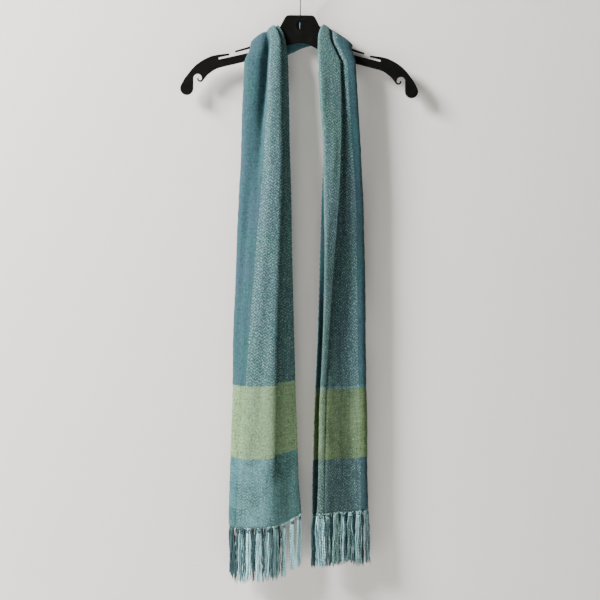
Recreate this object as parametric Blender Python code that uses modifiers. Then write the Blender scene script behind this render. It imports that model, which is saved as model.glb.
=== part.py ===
"""A handwoven scarf draped over a flat clothes hanger with a wire hook.

Metres, +Z up, +X to the viewer's right, the front faces -Y. The origin is the top of the inside of
the hook, where a rail would bear. The tables hold millimetres and degrees.
"""

import math

import bmesh
import bpy
import numpy as np
from mathutils import Matrix, Vector

MM = 0.001

# The cloth
WALL = 1.5 * MM
SEAM_GAP = 0.4 * MM
CLEAR_OF_PLATE = 4.2
LEFT_LENGTH = 988.0
RIGHT_LENGTH = 977.0
DROP_TOP = 166.0
FIRST_KEY_RUN = 27.0
DROP_ROWS = 17
NECK_ROWS = 25

# The fringe
STRIP_HEIGHT = 4.0
STRIP_GAP = 0.6
BUNDLES = 15
STRANDS_IN_BUNDLE = 6
STRAND_WIDTH = 1.35
STRAND_PITCH = 2.0
LOCK_PITCH = 1.75
FRINGE_LENGTH = 95.0
FRINGE_WALL = 1.3 * MM

# The hanger, in its own upright frame
HANGER_TILT = math.radians(0.84)
PLATE_THICKNESS = 5.0 * MM
PLATE_CHAMFER = 0.4 * MM
BLOCK_TOP = -79.4
HOLE_RADIUS = 7.5 * MM
HOLE_DROP = 97.0 * MM
WIRE_RADIUS = 1.1 * MM
BORE_RADIUS = 1.4 * MM
BORE_END = 112.0 * MM
STEM_END = 111.0 * MM
STEM_STEPS = (-90.0 * MM, -70.0 * MM)
HOOK_INNER_RADIUS = 19.5 * MM
HOOK_NECK_RADIUS = 12.0 * MM
HOOK_TIP_ANGLE = 200.0

# The left drop, seen from the front: each row is one height below the hook.
# edge_in: inner selvedge.  ridge: the fold where the pale stripe turns back.  pleat: how far the
# pleat behind it reaches.  front: how far the ridge stands forward.  stripe: where the dark stripe
# starts.  edge_out: the outer fold.  back: the outer selvedge, which lies behind.  groove: depth of
# the crease beside the pale stripe.  open: 0 where the pleat is closed, 1 where it has opened.
LEFT_COLUMNS = (
    "drop", "edge_in", "pleat", "ridge", "front", "stripe", "edge_out", "back", "groove", "open",
)
LEFT_ROWS = (
    (166, -23.1, 18, -35.5, 17.0, -56.2, -101.8, -40, 7.0, 0.0),
    (232, -21.5, 19, -35.5, 20.0, -59.2, -104.6, -42, 6.0, 0.0),
    (313, -20.1, 23, -35.0, 23.5, -63.9, -107.2, -46, 3.0, 0.0),
    (413, -17.4, 26, -36.0, 26.0, -72.2, -111.6, -50, 0.0, 0.0),
    (505, -15.9, 23, -39.2, 27.0, -79.8, -115.6, -52, 0.0, 0.0),
    (597, -13.8, 19, -42.2, 27.5, -87.5, -119.4, -54, 0.0, 0.0),
    (690, -11.4, 15, -45.0, 27.5, -94.4, -122.2, -54, 0.0, 0.0),
    (775, -9.2, 12, -46.6, 27.0, -99.8, -124.2, -52, 0.0, 0.0),
    (856, -6.6, 8, -47.5, 26.5, -107.0, -126.6, -48, 0.0, 0.1),
    (928, -4.2, 3, -52.0, 26.0, -112.6, -128.5, -44, 0.0, 1.0),
    (988, 0.9, 2, -54.0, 25.0, -116.6, -130.1, -41, 0.0, 1.0),
)

# The right drop. sel: the inner selvedge, which is the free edge of the flap turned to the front.
# sel_out: how far that edge stands forward.  turn: forward reach of the flap's bend.  fold: the
# inner fold, the drop's inner outline.  behind: how far the cloth behind the flap bulges.
# recess: the deep gap.  level: how far the ridge stands forward.  ridge, stripe, edge_out and
# back: as on the left drop.
RIGHT_COLUMNS = (
    "drop", "sel", "sel_out", "turn", "fold", "behind", "recess", "ridge", "level", "stripe", "edge_out",
    "back",
)
RIGHT_ROWS = (
    (166, 71.5, 14.5, 18.5, 31.7, 7.0, 75.0, 79.5, 12.4, 83.0, 98.3, 35.0),
    (232, 73.3, 17.3, 21.0, 34.6, 7.0, 78.0, 83.5, 12.4, 86.5, 102.1, 37.5),
    (313, 73.2, 20.8, 23.5, 39.4, 7.0, 79.4, 88.5, 12.0, 91.5, 107.2, 41.0),
    (413, 69.0, 23.8, 25.0, 41.9, 7.0, 76.0, 95.0, 10.8, 98.0, 112.2, 37.4),
    (505, 62.1, 24.2, 25.3, 42.7, 7.2, 73.4, 96.0, 8.4, 100.0, 114.8, 34.8),
    (597, 55.2, 22.6, 23.3, 41.6, 9.8, 71.5, 96.0, 6.2, 101.0, 116.2, 32.4),
    (690, 49.2, 19.8, 20.6, 38.2, 15.0, 73.0, 95.4, 4.8, 102.0, 116.8, 29.2),
    (775, 44.2, 17.6, 17.8, 34.4, 16.2, 74.5, 98.0, 4.2, 104.5, 117.4, 25.4),
    (856, 42.6, 16.9, 16.8, 32.2, 16.5, 75.5, 101.0, 4.0, 106.5, 118.4, 22.2),
    (928, 42.0, 16.8, 16.4, 30.6, 16.5, 75.5, 102.4, 4.0, 107.5, 119.6, 20.8),
    (977, 41.3, 16.8, 16.3, 29.1, 16.5, 75.5, 103.2, 4.1, 108.0, 121.0, 20.8),
)

# Where the back layer's selvedge starts to curl forward beside the inner fold, and over what height.
CURL_START = 430.0
CURL_REACH = 230.0

# How much lower (+) or higher (-) each of the 18 section points ends than the row's own height.
LEFT_SAG = (-8, 1, 7, 9, 10, 10.5, 11, 12, 12.5, 15.5, 15, 14, 13, 10, 8, 6, 6, 6)
RIGHT_SAG = (1, 1, 2, 3, 3, 1, 0, 0, 0, -1, -2, -3, -4, -5, -5, -4, 0, 3)
LEFT_SAG_POWER = 2.6
RIGHT_SAG_POWER = 1.5

# Where each section point of the opened left pleat lies between the selvedge (0) and the stripe (1),
# and how far forward it is there, as a share of the ridge's reach.
OPEN_SHARE = (0.0, 0.13, 0.24, 0.285, 0.32, 0.35, 0.38, 0.415, 0.46, 0.72, 1.0)
OPEN_DEPTH = (0.04, 0.25, 0.45, 0.56, 0.66, 0.75, 0.84, 0.92, 0.98, 0.95, 0.74)

# Grid columns laid between neighbouring section points: two where the cloth turns, one where it runs.
SPANS = (1, 2, 2, 2, 1, 1, 2, 2, 2, 2, 2, 2, 2, 2, 2, 2, 2)

# The neck: sections across the strip as it crosses the left arm, the back and the right arm.
# x, z: the inner edge.  lean: turn of the section's width from level.  over: how far it has gone
# over the hanger, 0 in front, 90 on top, 180 behind, 360 in front again.  width, depth: scale.
# clear: how far the innermost layer lies from the plate's middle.
NECK_COLUMNS = ("x", "z", "lean", "over", "width", "depth", "clear")
NECK_KEYS = (
    (-23.1, -166.0, 0, 0, 1.00, 1.00, 4.2),
    (-25.6, -139.0, 12, 0, 0.99, 0.92, 4.2),
    (-30.6, -116.0, 26, 4, 0.98, 0.72, 4.2),
    (-37.2, -103.4, 33, 45, 0.90, 0.49, 5.1),
    (-38.2, -103.0, 33, 90, 0.89, 0.42, 3.9),
    (-38.8, -102.6, 35, 140, 0.86, 0.50, 5.1),
    (-38.0, -102.4, 58, 176, 0.84, 0.70, 4.4),
    (-33.0, -99.0, 95, 180, 0.80, 0.84, 4.2),
    (-13.5, -88.0, 113, 180, 0.83, 0.88, 4.2),
    (10.0, -87.0, 124, 180, 0.86, 0.88, 4.2),
    (28.0, -94.0, 139, 184, 0.92, 0.78, 4.2),
    (35.0, -102.8, 146, 220, 0.98, 0.56, 5.1),
    (36.0, -104.8, 146.5, 270, 1.00, 0.43, 3.9),
    (34.6, -105.0, 148, 315, 1.00, 0.50, 5.0),
    (31.8, -116.0, 155, 356, 1.00, 0.74, 4.2),
    (30.8, -139.0, 168, 360, 1.00, 0.92, 4.2),
    (31.7, -166.0, 180, 360, 1.00, 1.00, 4.2),
)

# Section shapes over the neck, as (across, out) from the inner edge and the hanger. The first and
# last lie on top of the two arms, where the stripes near the selvedge bunch towards the block.
LEFT_SADDLE = (
    (0, 4.6), (10, 4.3), (18, 4.6), (20, 6.7), (18, 8.8), (13, 8.6), (8, 9), (6, 11.2), (8, 13.2),
    (13, 13.8), (19, 12.8), (24, 7.4), (33, 13.0), (52, 11.8), (63, 5.5), (58, 1.1), (34, 0.2), (8, 0.9),
)
GATHERED = (
    (0, 4.6), (17, 4.3), (31, 4.6), (34, 6.7), (31, 8.8), (21, 8.6), (11, 9), (8, 11.2), (11, 13.4),
    (23, 14.6), (34, 12), (43, 8.5), (51, 13), (59, 11), (64, 5.5), (59, 0.9), (34, 0), (8, 0.8),
)
OPENED = (
    (2, 6), (8, 9), (14, 6.6), (17, 4.8), (20, 7), (22, 11), (24, 14.6), (27, 16.4), (30, 14.6),
    (35, 8.5), (40, 12.5), (45, 16), (50, 13), (55, 8.5), (60, 5), (55, 0.9), (33, 0), (7, 0.6),
)
CURLED = (
    (28, 14.6), (15, 14.2), (3, 12.6), (0, 9.6), (3, 6.6), (15, 6.6), (28, 5.8), (37, 5), (42, 9.5),
    (47, 14), (52, 14.8), (56, 12.8), (60, 11), (63, 8.6), (65, 5), (60, 0.7), (35, 0), (5, 0.6),
)
RIGHT_SADDLE = (
    (7, 14.2), (5, 14), (2, 12.6), (0, 9.6), (2, 6.6), (5, 6.4), (9, 5.8), (12, 5.6), (15, 9.5),
    (19, 12.8), (24, 13.8), (35, 14.2), (46, 13.2), (57, 10.5), (65, 5), (60, 0.7), (35, 0), (5, 0.6),
)
NECK_STAGES = (0.0, 0.25, 0.44, 0.56, 0.67, 0.76, 1.0)

# The hanger plate's outline, right half, as corners (x, z, rounding) in order from the top.
ARM_TOP_CORNERS = (
    (25.2, -79.4, 8.0), (36.2, -100.6, 3.0), (63.0, -120.5, 70.0), (88.0, -136.6, 60.0),
    (117.4, -145.6, 1.3), (117.0, -148.4, 1.3), (86.0, -139.6, 3.0), (86.0, -147.2, 3.0),
    (146.8, -161.9, 2.2), (146.8, -157.4, 2.2), (127.2, -153.2, 1.3), (127.2, -150.4, 1.3),
    (160.0, -154.4, 60.0), (188.0, -171.0, 60.0), (208.0, -197.0, 60.0),
)
LOBE_CENTRE = (203.6, -214.6)
LOBE_RADIUS = 11.9
NOTCH_CENTRE = (184.2, -195.4)
NOTCH_RADIUS = 7.6
CURL_CENTRE = (179.4, -196.8)
CURL_INNER_RADIUS = 2.9
CURL_OUTER_RADIUS = 5.7
ARM_UNDER_CORNERS = (
    (167.0, -189.6, 24.0), (151.0, -177.6, 40.0), (100.0, -164.7, 120.0), (62.0, -152.0, 60.0),
    (34.5, -141.3, 3.0),
)
ARCH_PEAK = -129.2
ARCH_STEPS = 7


def clear_scene():
    """Remove the objects that a new Blender file starts with."""
    for obj in list(bpy.data.objects):
        bpy.data.objects.remove(obj, do_unlink=True)


def new_collection(name):
    """Make a collection in the scene."""
    collection = bpy.data.collections.new(name)
    bpy.context.scene.collection.children.link(collection)
    return collection


def new_material(name, color, roughness, metallic=0.0):
    """Make a plain Principled material."""
    material = bpy.data.materials.new(name)
    material.use_nodes = True
    shader = material.node_tree.nodes["Principled BSDF"]
    shader.inputs["Base Color"].default_value = (*color, 1.0)
    shader.inputs["Roughness"].default_value = roughness
    shader.inputs["Metallic"].default_value = metallic
    return material


def new_object(name, data, collection, material, parent=None):
    """Put mesh or curve data in the scene as one named part."""
    obj = bpy.data.objects.new(name, data)
    collection.objects.link(obj)
    obj.data.materials.append(material)
    obj.parent = parent
    return obj


def smooth_table(columns, rows, positions):
    """Read a table's columns at the given values of its first column, on a smooth curve.

    Each stretch is a cubic whose slope at a row is that of the rows on either side.
    """
    table = np.array(rows, dtype=float)
    key = table[:, 0]
    slopes = np.gradient(table, key, axis=0)
    place = np.clip(np.searchsorted(key, positions) - 1, 0, len(key) - 2)
    step = (key[place + 1] - key[place])[:, None]
    t = ((positions - key[place]) / step[:, 0])[:, None]
    low, high = table[place], table[place + 1]
    out = (
        (2 * t**3 - 3 * t**2 + 1) * low
        + (t**3 - 2 * t**2 + t) * step * slopes[place]
        + (3 * t**2 - 2 * t**3) * high
        + (t**3 - t**2) * step * slopes[place + 1]
    )
    return {name: out[:, i] for i, name in enumerate(columns)}


def eased(value):
    """Clip to 0..1 and ease both ends."""
    t = np.clip(value, 0.0, 1.0)
    return t * t * (3 - 2 * t)


def section_curve(points, spans):
    """Run a smooth curve through section points (centripetal Catmull-Rom).

    points is (rows, count, axes); the result has spans[i] columns between points i and i + 1.
    """
    first = 2 * points[:, :1] - points[:, 1:2]
    last = 2 * points[:, -1:] - points[:, -2:-1]
    padded = np.concatenate([first, points, last], axis=1)
    knots = np.sqrt(np.linalg.norm(np.diff(padded, axis=1), axis=2)) + 1e-6
    columns = []
    for i, span in enumerate(spans):
        p0, p1, p2, p3 = (padded[:, i + j] for j in range(4))
        d0, d1, d2 = (knots[:, i + j, None] for j in range(3))
        m1 = (p1 - p0) / d0 - (p2 - p0) / (d0 + d1) + (p2 - p1) / d1
        m2 = (p2 - p1) / d1 - (p3 - p1) / (d1 + d2) + (p3 - p2) / d2
        for step in range(span):
            t = step / span
            columns.append(
                (2 * t**3 - 3 * t**2 + 1) * p1
                + (t**3 - 2 * t**2 + t) * d1 * m1
                + (3 * t**2 - 2 * t**3) * p2
                + (t**3 - t**2) * d1 * m2
            )
    columns.append(padded[:, -2])
    return np.stack(columns, axis=1)


def left_section(drop):
    """Give the left drop's 18 section points (x, out) at each height; out is towards the viewer."""
    row = smooth_table(LEFT_COLUMNS, LEFT_ROWS, drop)
    inner, ridge, stripe, outer = row["edge_in"], row["ridge"], row["stripe"], row["edge_out"]
    front = row["front"]
    valley = ridge - np.maximum(row["pleat"], 0.0)
    ones = np.ones_like(drop)
    closed = [
        (inner, 1.6 * ones),
        (0.5 * (inner + valley), 5.0 * ones),
        (valley + 2.6, 5.6 * ones),
        (valley, 8.0 * ones),
        (valley + 2.6, 10.4 * ones),
        (0.5 * (valley + ridge) + 1.3, 0.5 * (front + 4.6)),
        (ridge - 1.2, front - 6.0),
        (ridge + 1.6, front - 3.2),
        (ridge - 1.6, front - 0.8),
        (0.5 * (ridge + stripe), front + 0.4),
        (stripe, 0.80 * front + 1.6),
    ]
    width = stripe - inner
    amount = eased(row["open"])
    points = []
    for (x, out), share, depth in zip(closed, OPEN_SHARE, OPEN_DEPTH):
        points.append((x + amount * (inner + share * width - x), out + amount * (depth * front - out)))
    groove = np.maximum(row["groove"], 0.0)
    side = outer - stripe
    points += [
        (stripe + (0.20 - 0.012 * groove) * side, 0.62 * front + 2.6 - 1.15 * groove),
        (stripe + (0.50 - 0.018 * groove) * side, 0.34 * front + 7.0 + 0.24 * groove),
        (stripe + 0.86 * side, 11.2 * ones),
        (outer, 5.6 * ones),
        (outer + 5.0, 0.8 * ones),
        (0.5 * (outer + row["back"]), 0.2 + 1.2 * np.sin(drop / 95.0)),
        (row["back"], 1.4 * ones),
    ]
    return np.stack([np.stack(p, axis=1) for p in points], axis=1)


def right_section(drop):
    """Give the right drop's 18 section points (x, out) at each height."""
    row = smooth_table(RIGHT_COLUMNS, RIGHT_ROWS, drop)
    fold, sel, recess, ridge = row["fold"], row["sel"], row["recess"], row["ridge"]
    stripe, outer, turn = row["stripe"], row["edge_out"], row["turn"]
    behind = row["behind"]
    middle = 0.5 * (outer + row["back"])
    curl = eased((drop - CURL_START) / CURL_REACH)
    inside = 5.2 + 0.34 * behind + 2.0 * curl
    level = row["level"]
    side = outer - stripe
    points = [
        (sel, row["sel_out"]),
        (0.52 * sel + 0.48 * fold, 0.62 * row["sel_out"] + 0.38 * turn + 1.0),
        (fold + 2.2, turn),
        (fold, 0.5 * (turn + inside)),
        (fold + 3.0, inside),
        (fold + (0.38 - 0.04 * curl) * (recess - fold), behind),
        (0.22 * fold + 0.78 * recess, 2.6 + 0.36 * behind + 1.9 * curl),
        (recess, 2.2 + 0.2 * behind + 1.6 * curl),
        (recess + (0.30 + 0.28 * curl) * (ridge - recess), level - 2.0 + 1.4 * curl),
        (ridge, level),
        (stripe, level + 1.2 * curl),
        (stripe + 0.35 * side, level - 0.4 + 2.3 * curl),
        (stripe + 0.66 * side, level - 0.9 + 3.1 * curl),
        (stripe + 0.90 * side, level - 2.0 + 2.8 * curl),
        (outer, 0.5 * level - 0.2 + 1.0 * curl),
        (outer - 5.0, np.full_like(drop, 0.8)),
        (middle + curl * (fold + 4.0 - middle), 0.6 + 0.4 * np.cos(drop / 90.0)),
        (row["back"], 1.2 + 11.5 * curl),
    ]
    return np.stack([np.stack(p, axis=1) for p in points], axis=1)


def drop_points(section, drop, top, length, sag, power):
    """Place a drop's section points in the world, with the uneven sag of its lower end."""
    flat = section(drop)
    share = np.clip((drop - top) / (length - top), 0.0, 1.0) ** power
    z = -(drop[:, None] + share[:, None] * np.array(sag, dtype=float)[None, :])
    y = -(CLEAR_OF_PLATE + flat[..., 1])
    return np.stack([flat[..., 0], y, z], axis=2)


def drop_grid(section, first, last, length, sag, power):
    """Give the grid of a drop between two heights below the hook."""
    drop = np.linspace(first, last, DROP_ROWS)
    return section_curve(drop_points(section, drop, DROP_TOP, length, sag, power), SPANS)


def neck_grid(trim):
    """Give the grid of the neck stretch, from the left drop over the back to the right drop."""
    keys = np.array(NECK_KEYS, dtype=float)
    count = len(keys) - 1
    path = np.linspace(trim, 1.0 - trim, NECK_ROWS)
    table = np.column_stack([np.linspace(0.0, 1.0, count + 1), keys])
    row = smooth_table(("s",) + NECK_COLUMNS, table, path)
    top = np.array([DROP_TOP])
    left = left_section(top)[0] * (-1, 1) + (NECK_KEYS[0][0], 0)
    right = right_section(top)[0] - (NECK_KEYS[-1][0], 0)
    between = (LEFT_SADDLE, GATHERED, OPENED, CURLED, RIGHT_SADDLE)
    shapes = np.stack([left, *(np.array(shape) for shape in between), right])
    stage = np.interp(path, NECK_STAGES, range(len(NECK_STAGES)))
    place = np.minimum(stage.astype(int), len(NECK_STAGES) - 2)
    mix = (stage - place)[:, None, None]
    flat = (1 - mix) * shapes[place] + mix * shapes[place + 1]
    lean, over = np.radians(row["lean"]), np.radians(row["over"])
    zero = np.zeros_like(lean)
    across = np.stack([-np.cos(lean), zero, -np.sin(lean)], axis=1)
    up = np.stack([-np.sin(lean), zero, np.cos(lean)], axis=1)
    front = np.array([0.0, -1.0, 0.0])
    out = np.cos(over)[:, None] * front + np.sin(over)[:, None] * up
    origin = np.stack([row["x"], zero, row["z"]], axis=1)
    width = flat[..., 0] * row["width"][:, None]
    depth = row["clear"][:, None] + flat[..., 1] * row["depth"][:, None]
    points = origin[:, None] + width[..., None] * across[:, None] + depth[..., None] * out[:, None]
    return section_curve(points, SPANS)


def surface_mesh(name, grid):
    """Make an open mesh from a grid of points in millimetres."""
    rows, columns = grid.shape[:2]
    index = np.arange(rows * columns).reshape(rows, columns)
    corners = (index[:-1, :-1], index[:-1, 1:], index[1:, 1:], index[1:, :-1])
    faces = np.stack(corners, axis=2).reshape(-1, 4)
    mesh = bpy.data.meshes.new(name)
    mesh.from_pydata((grid.reshape(-1, 3) * MM).tolist(), [], faces.tolist())
    mesh.shade_smooth()
    return mesh


def add_wall(obj, thickness):
    """Give an open surface its wall, half on each side."""
    wall = obj.modifiers.new("Wall", "SOLIDIFY")
    wall.thickness = thickness
    wall.offset = 0.0
    wall.use_even_offset = False


def build_cloth(collection, material):
    """Build the two hanging stretches and the gathered one between them."""
    half_gap = 0.5 * SEAM_GAP / MM
    first = DROP_TOP + half_gap
    left = drop_grid(left_section, first, LEFT_LENGTH, LEFT_LENGTH, LEFT_SAG, LEFT_SAG_POWER)
    right = drop_grid(right_section, first, RIGHT_LENGTH, RIGHT_LENGTH, RIGHT_SAG, RIGHT_SAG_POWER)
    trim = half_gap / FIRST_KEY_RUN / (len(NECK_KEYS) - 1)
    for name, grid in (
        ("scarf_left_drop", left), ("scarf_neck", neck_grid(trim)), ("scarf_right_drop", right),
    ):
        add_wall(new_object(name, surface_mesh(name, grid), collection, material), WALL)


def end_line(section, length, sag, power):
    """Give the lower edge of a drop as the same points as its grid, with its running length."""
    drop = np.array([length])
    points = drop_points(section, drop, DROP_TOP, length, sag, power)
    line = section_curve(points, SPANS)[0]
    steps = np.linalg.norm(np.diff(line, axis=0), axis=1)
    return line, np.concatenate([[0.0], np.cumsum(steps)])


def along(line, length, places):
    """Read a line of points at the given running lengths."""
    return np.stack([np.interp(places, length, line[:, axis]) for axis in range(3)], axis=1)


def fringe_mesh(name, line, length, phase):
    """Make a comb: a narrow strip under the cloth's edge with the tied warp ends hanging from it.

    Each strand is two faces wide apart from its neighbours, drawn in to its bundle's lock below.
    """
    bundle = length[-1] / BUNDLES
    strand = np.arange(BUNDLES * STRANDS_IN_BUNDLE)
    group, place = np.divmod(strand, STRANDS_IN_BUNDLE)
    offset = place - 0.5 * (STRANDS_IN_BUNDLE - 1)
    middle = (group + 0.5) * bundle
    root = middle + offset * STRAND_PITCH
    edges = np.stack([root - 0.5 * STRAND_WIDTH, root + 0.5 * STRAND_WIDTH], axis=1).ravel()
    places = np.concatenate([[0.0], edges, [length[-1]]])
    top = along(line, length, places) - (0.0, 0.0, STRIP_GAP)
    bottom = top - (0.0, 0.0, STRIP_HEIGHT)
    vertices = [*top, *bottom]
    count = len(places)
    faces = [(i, i + 1, count + i + 1, count + i) for i in range(count - 1)]
    ahead = along(line, length, root + 0.5) - along(line, length, root - 0.5)
    ahead[:, 2] = 0.0
    ahead /= np.linalg.norm(ahead, axis=1)[:, None]
    drift = 1.3 * np.sin(2.1 * group + phase)
    lock = middle + offset * LOCK_PITCH - root
    reach = FRINGE_LENGTH - STRIP_HEIGHT + 3.0 * np.sin(1.7 * group + 2.0 * phase)
    reach = reach - 2.0 * np.abs(np.sin(2.4 * strand))
    for i in strand:
        upper = (count + 1 + 2 * i, count + 2 + 2 * i)
        for share, shift, width in ((0.35, lock[i], 0.92), (1.0, lock[i] + drift[i], 0.78)):
            centre = 0.5 * (vertices[count + 1 + 2 * i] + vertices[count + 2 + 2 * i])
            centre = centre + ahead[i] * shift - np.array([0.0, 0.0, reach[i] * share])
            side = ahead[i] * 0.5 * STRAND_WIDTH * width
            lower = (len(vertices), len(vertices) + 1)
            vertices += [centre - side, centre + side]
            faces.append((upper[0], upper[1], lower[1], lower[0]))
            upper = lower
    mesh = bpy.data.meshes.new(name)
    mesh.from_pydata((np.array(vertices) * MM).tolist(), [], faces)
    return mesh


def build_fringes(collection, material):
    """Build both fringes, each on a strip just under its drop's edge."""
    ends = (
        ("fringe_left", left_section, LEFT_LENGTH, LEFT_SAG, LEFT_SAG_POWER, 0.4),
        ("fringe_right", right_section, RIGHT_LENGTH, RIGHT_SAG, RIGHT_SAG_POWER, 1.9),
    )
    for name, section, drop, sag, power, phase in ends:
        line, length = end_line(section, drop, sag, power)
        mesh = fringe_mesh(name, line, length, phase)
        add_wall(new_object(name, mesh, collection, material), FRINGE_WALL)


def arc(centre, radius, start, end, steps):
    """Give points on an arc; angles in degrees from +X towards +Z."""
    angles = np.radians(np.linspace(start, end, steps + 1))
    return [(centre[0] + radius * math.cos(a), centre[1] + radius * math.sin(a)) for a in angles]


def rounded(corners, before, after):
    """Round each corner (x, z, radius) of an open outline, between the points before and after."""
    points = []
    places = [before] + [corner[:2] for corner in corners] + [after]
    for i, (x, z, radius) in enumerate(corners):
        here = Vector((x, z))
        back = (Vector(places[i]) - here)
        ahead = (Vector(places[i + 2]) - here)
        half_angle = 0.5 * back.angle(ahead)
        reach = min(radius / math.tan(half_angle), 0.48 * back.length, 0.48 * ahead.length)
        start = here + back.normalized() * reach
        end = here + ahead.normalized() * reach
        steps = 3 if radius < 5.0 else 2
        for step in range(steps + 1):
            t = step / steps
            point = start * (1 - t) ** 2 + here * 2 * t * (1 - t) + end * t**2
            points.append((point.x, point.y))
    return points


def half_outline():
    """Give the right half of the plate's outline, from the top's middle to the arch's middle."""
    lobe = arc(LOBE_CENTRE, LOBE_RADIUS, 22, -180, 11)
    notch = arc(NOTCH_CENTRE, NOTCH_RADIUS, 0, 180, 8)
    curl_in = arc(CURL_CENTRE, CURL_INNER_RADIUS, 180, 350, 5)
    curl_out = arc(CURL_CENTRE, CURL_OUTER_RADIUS, 2, -150, 7)
    tip_radius = 0.5 * (CURL_OUTER_RADIUS - CURL_INNER_RADIUS)
    tip_x = CURL_CENTRE[0] + CURL_INNER_RADIUS + tip_radius
    tip = arc((tip_x, CURL_CENTRE[1]), tip_radius, 150, 30, 3)
    top = rounded(ARM_TOP_CORNERS, (0.0, BLOCK_TOP), lobe[0])
    foot = ARM_UNDER_CORNERS[-1]
    under = rounded(ARM_UNDER_CORNERS, curl_out[-1], (0.0, ARCH_PEAK))
    arch = []
    for step in range(1, ARCH_STEPS):
        t = step / ARCH_STEPS
        arch.append((foot[0] * (1 - t), foot[1] + (ARCH_PEAK - foot[1]) * math.sin(0.5 * math.pi * t)))
    return top + lobe + notch + curl_in + tip + curl_out + under[:-2] + arch[1:]


def build_plate(collection, cutters, material, parent):
    """Build the flat plate, with its round hole and the bore that the wire stem sits in."""
    half = half_outline()
    outline = half + [(0.0, ARCH_PEAK)] + [(-x, z) for x, z in reversed(half)]
    curve = bpy.data.curves.new("plate_outline", "CURVE")
    curve.dimensions = "2D"
    curve.fill_mode = "BOTH"
    curve.extrude = 0.5 * PLATE_THICKNESS - PLATE_CHAMFER
    curve.bevel_depth = PLATE_CHAMFER
    curve.bevel_resolution = 0
    curve.offset = -PLATE_CHAMFER
    spline = curve.splines.new("POLY")
    spline.points.add(len(outline) - 1)
    for point, (x, z) in zip(spline.points, outline):
        point.co = (x * MM, z * MM, 0.0, 1.0)
    spline.use_cyclic_u = True
    shape = bpy.data.objects.new("plate_outline", curve)
    collection.objects.link(shape)
    mesh = bpy.data.meshes.new_from_object(shape.evaluated_get(bpy.context.evaluated_depsgraph_get()))
    bpy.data.objects.remove(shape, do_unlink=True)
    mesh.transform(Matrix.Rotation(math.radians(90.0), 4, "X"))
    work = bmesh.new()
    work.from_mesh(mesh)
    bmesh.ops.remove_doubles(work, verts=work.verts, dist=0.00005)
    work.to_mesh(mesh)
    work.free()
    mesh.name = "hanger_plate"
    plate = new_object("hanger_plate", mesh, collection, material, parent)

    bpy.ops.mesh.primitive_cylinder_add(vertices=28, radius=HOLE_RADIUS, depth=4 * PLATE_THICKNESS)
    hole = bpy.context.object
    hole.name = "cut_round_hole"
    hole.rotation_euler = (math.radians(90.0), 0.0, 0.0)
    hole.location = (0.0, 0.0, -HOLE_DROP)
    bore_start = BLOCK_TOP * MM + 4 * MM
    depth = BORE_END + bore_start
    bpy.ops.mesh.primitive_cylinder_add(vertices=12, radius=BORE_RADIUS, depth=depth)
    bore = bpy.context.object
    bore.name = "cut_stem_bore"
    bore.location = (0.0, 0.0, bore_start - 0.5 * depth)
    for cutter in (hole, bore):
        for owner in list(cutter.users_collection):
            owner.objects.unlink(cutter)
        cutters.objects.link(cutter)
        cutter.parent = parent
        cutter.hide_render = True
        cutter.display_type = "WIRE"
        cut = plate.modifiers.new(cutter.name, "BOOLEAN")
        cut.operation = "DIFFERENCE"
        cut.object = cutter


def hook_route():
    """Give the wire's middle line: the stem, the bend at its top and the open loop over the rail."""
    radius = HOOK_INNER_RADIUS + WIRE_RADIUS
    centre = (0.0, -HOOK_INNER_RADIUS)
    drop = math.sqrt(radius**2 + 2.0 * radius * HOOK_NECK_RADIUS)
    neck = (HOOK_NECK_RADIUS, centre[1] - drop)
    meet = math.degrees(math.atan2(-drop, HOOK_NECK_RADIUS))
    stem = [(0.0, -STEM_END), *((0.0, z) for z in STEM_STEPS)]
    bend = arc(neck, HOOK_NECK_RADIUS, 180.0, meet + 180.0, 5)
    loop = arc(centre, radius, meet, HOOK_TIP_ANGLE, 22)
    return stem + bend + loop[1:]


def build_hook(collection, material, parent):
    """Build the hook as a bevelled wire, with a rounded tip."""
    route = hook_route()
    curve = bpy.data.curves.new("hanger_hook", "CURVE")
    curve.dimensions = "3D"
    curve.bevel_depth = WIRE_RADIUS
    curve.bevel_resolution = 2
    curve.use_fill_caps = True
    spline = curve.splines.new("POLY")
    spline.points.add(len(route) - 1)
    for point, (x, z) in zip(spline.points, route):
        point.co = (x, 0.0, z, 1.0)
    spline.points[len(route) - 1].radius = 0.75
    new_object("hanger_hook", curve, collection, material, parent)


def main():
    """Build the hanger and the scarf on it."""
    clear_scene()
    parts = new_collection("scarf_on_hanger")
    cutters = new_collection("cutters")
    cloth = new_material("teal_weave", (0.10, 0.24, 0.26), 0.85)
    yarn = new_material("fringe_yarn", (0.24, 0.40, 0.38), 0.8)
    black = new_material("matt_black_plastic", (0.012, 0.012, 0.012), 0.5)
    steel = new_material("hook_wire", (0.10, 0.10, 0.11), 0.35, 1.0)
    frame = bpy.data.objects.new("hanger_frame", None)
    frame.rotation_euler = (0.0, HANGER_TILT, 0.0)
    parts.objects.link(frame)
    build_plate(parts, cutters, black, frame)
    build_hook(parts, steel, frame)
    build_cloth(parts, cloth)
    build_fringes(parts, yarn)


main()
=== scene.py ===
"""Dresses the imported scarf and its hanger: hand-woven cloth, knotted fringes, black plate, wire hook.

The frame has +Z up, +X to the viewer's right and the front facing -Y. The origin is the top of the
inside of the hook. Tables hold millimetres and degrees, and meshes are in metres.
"""

import logging
import math
from dataclasses import dataclass
from enum import Enum
from functools import partial, reduce

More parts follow.
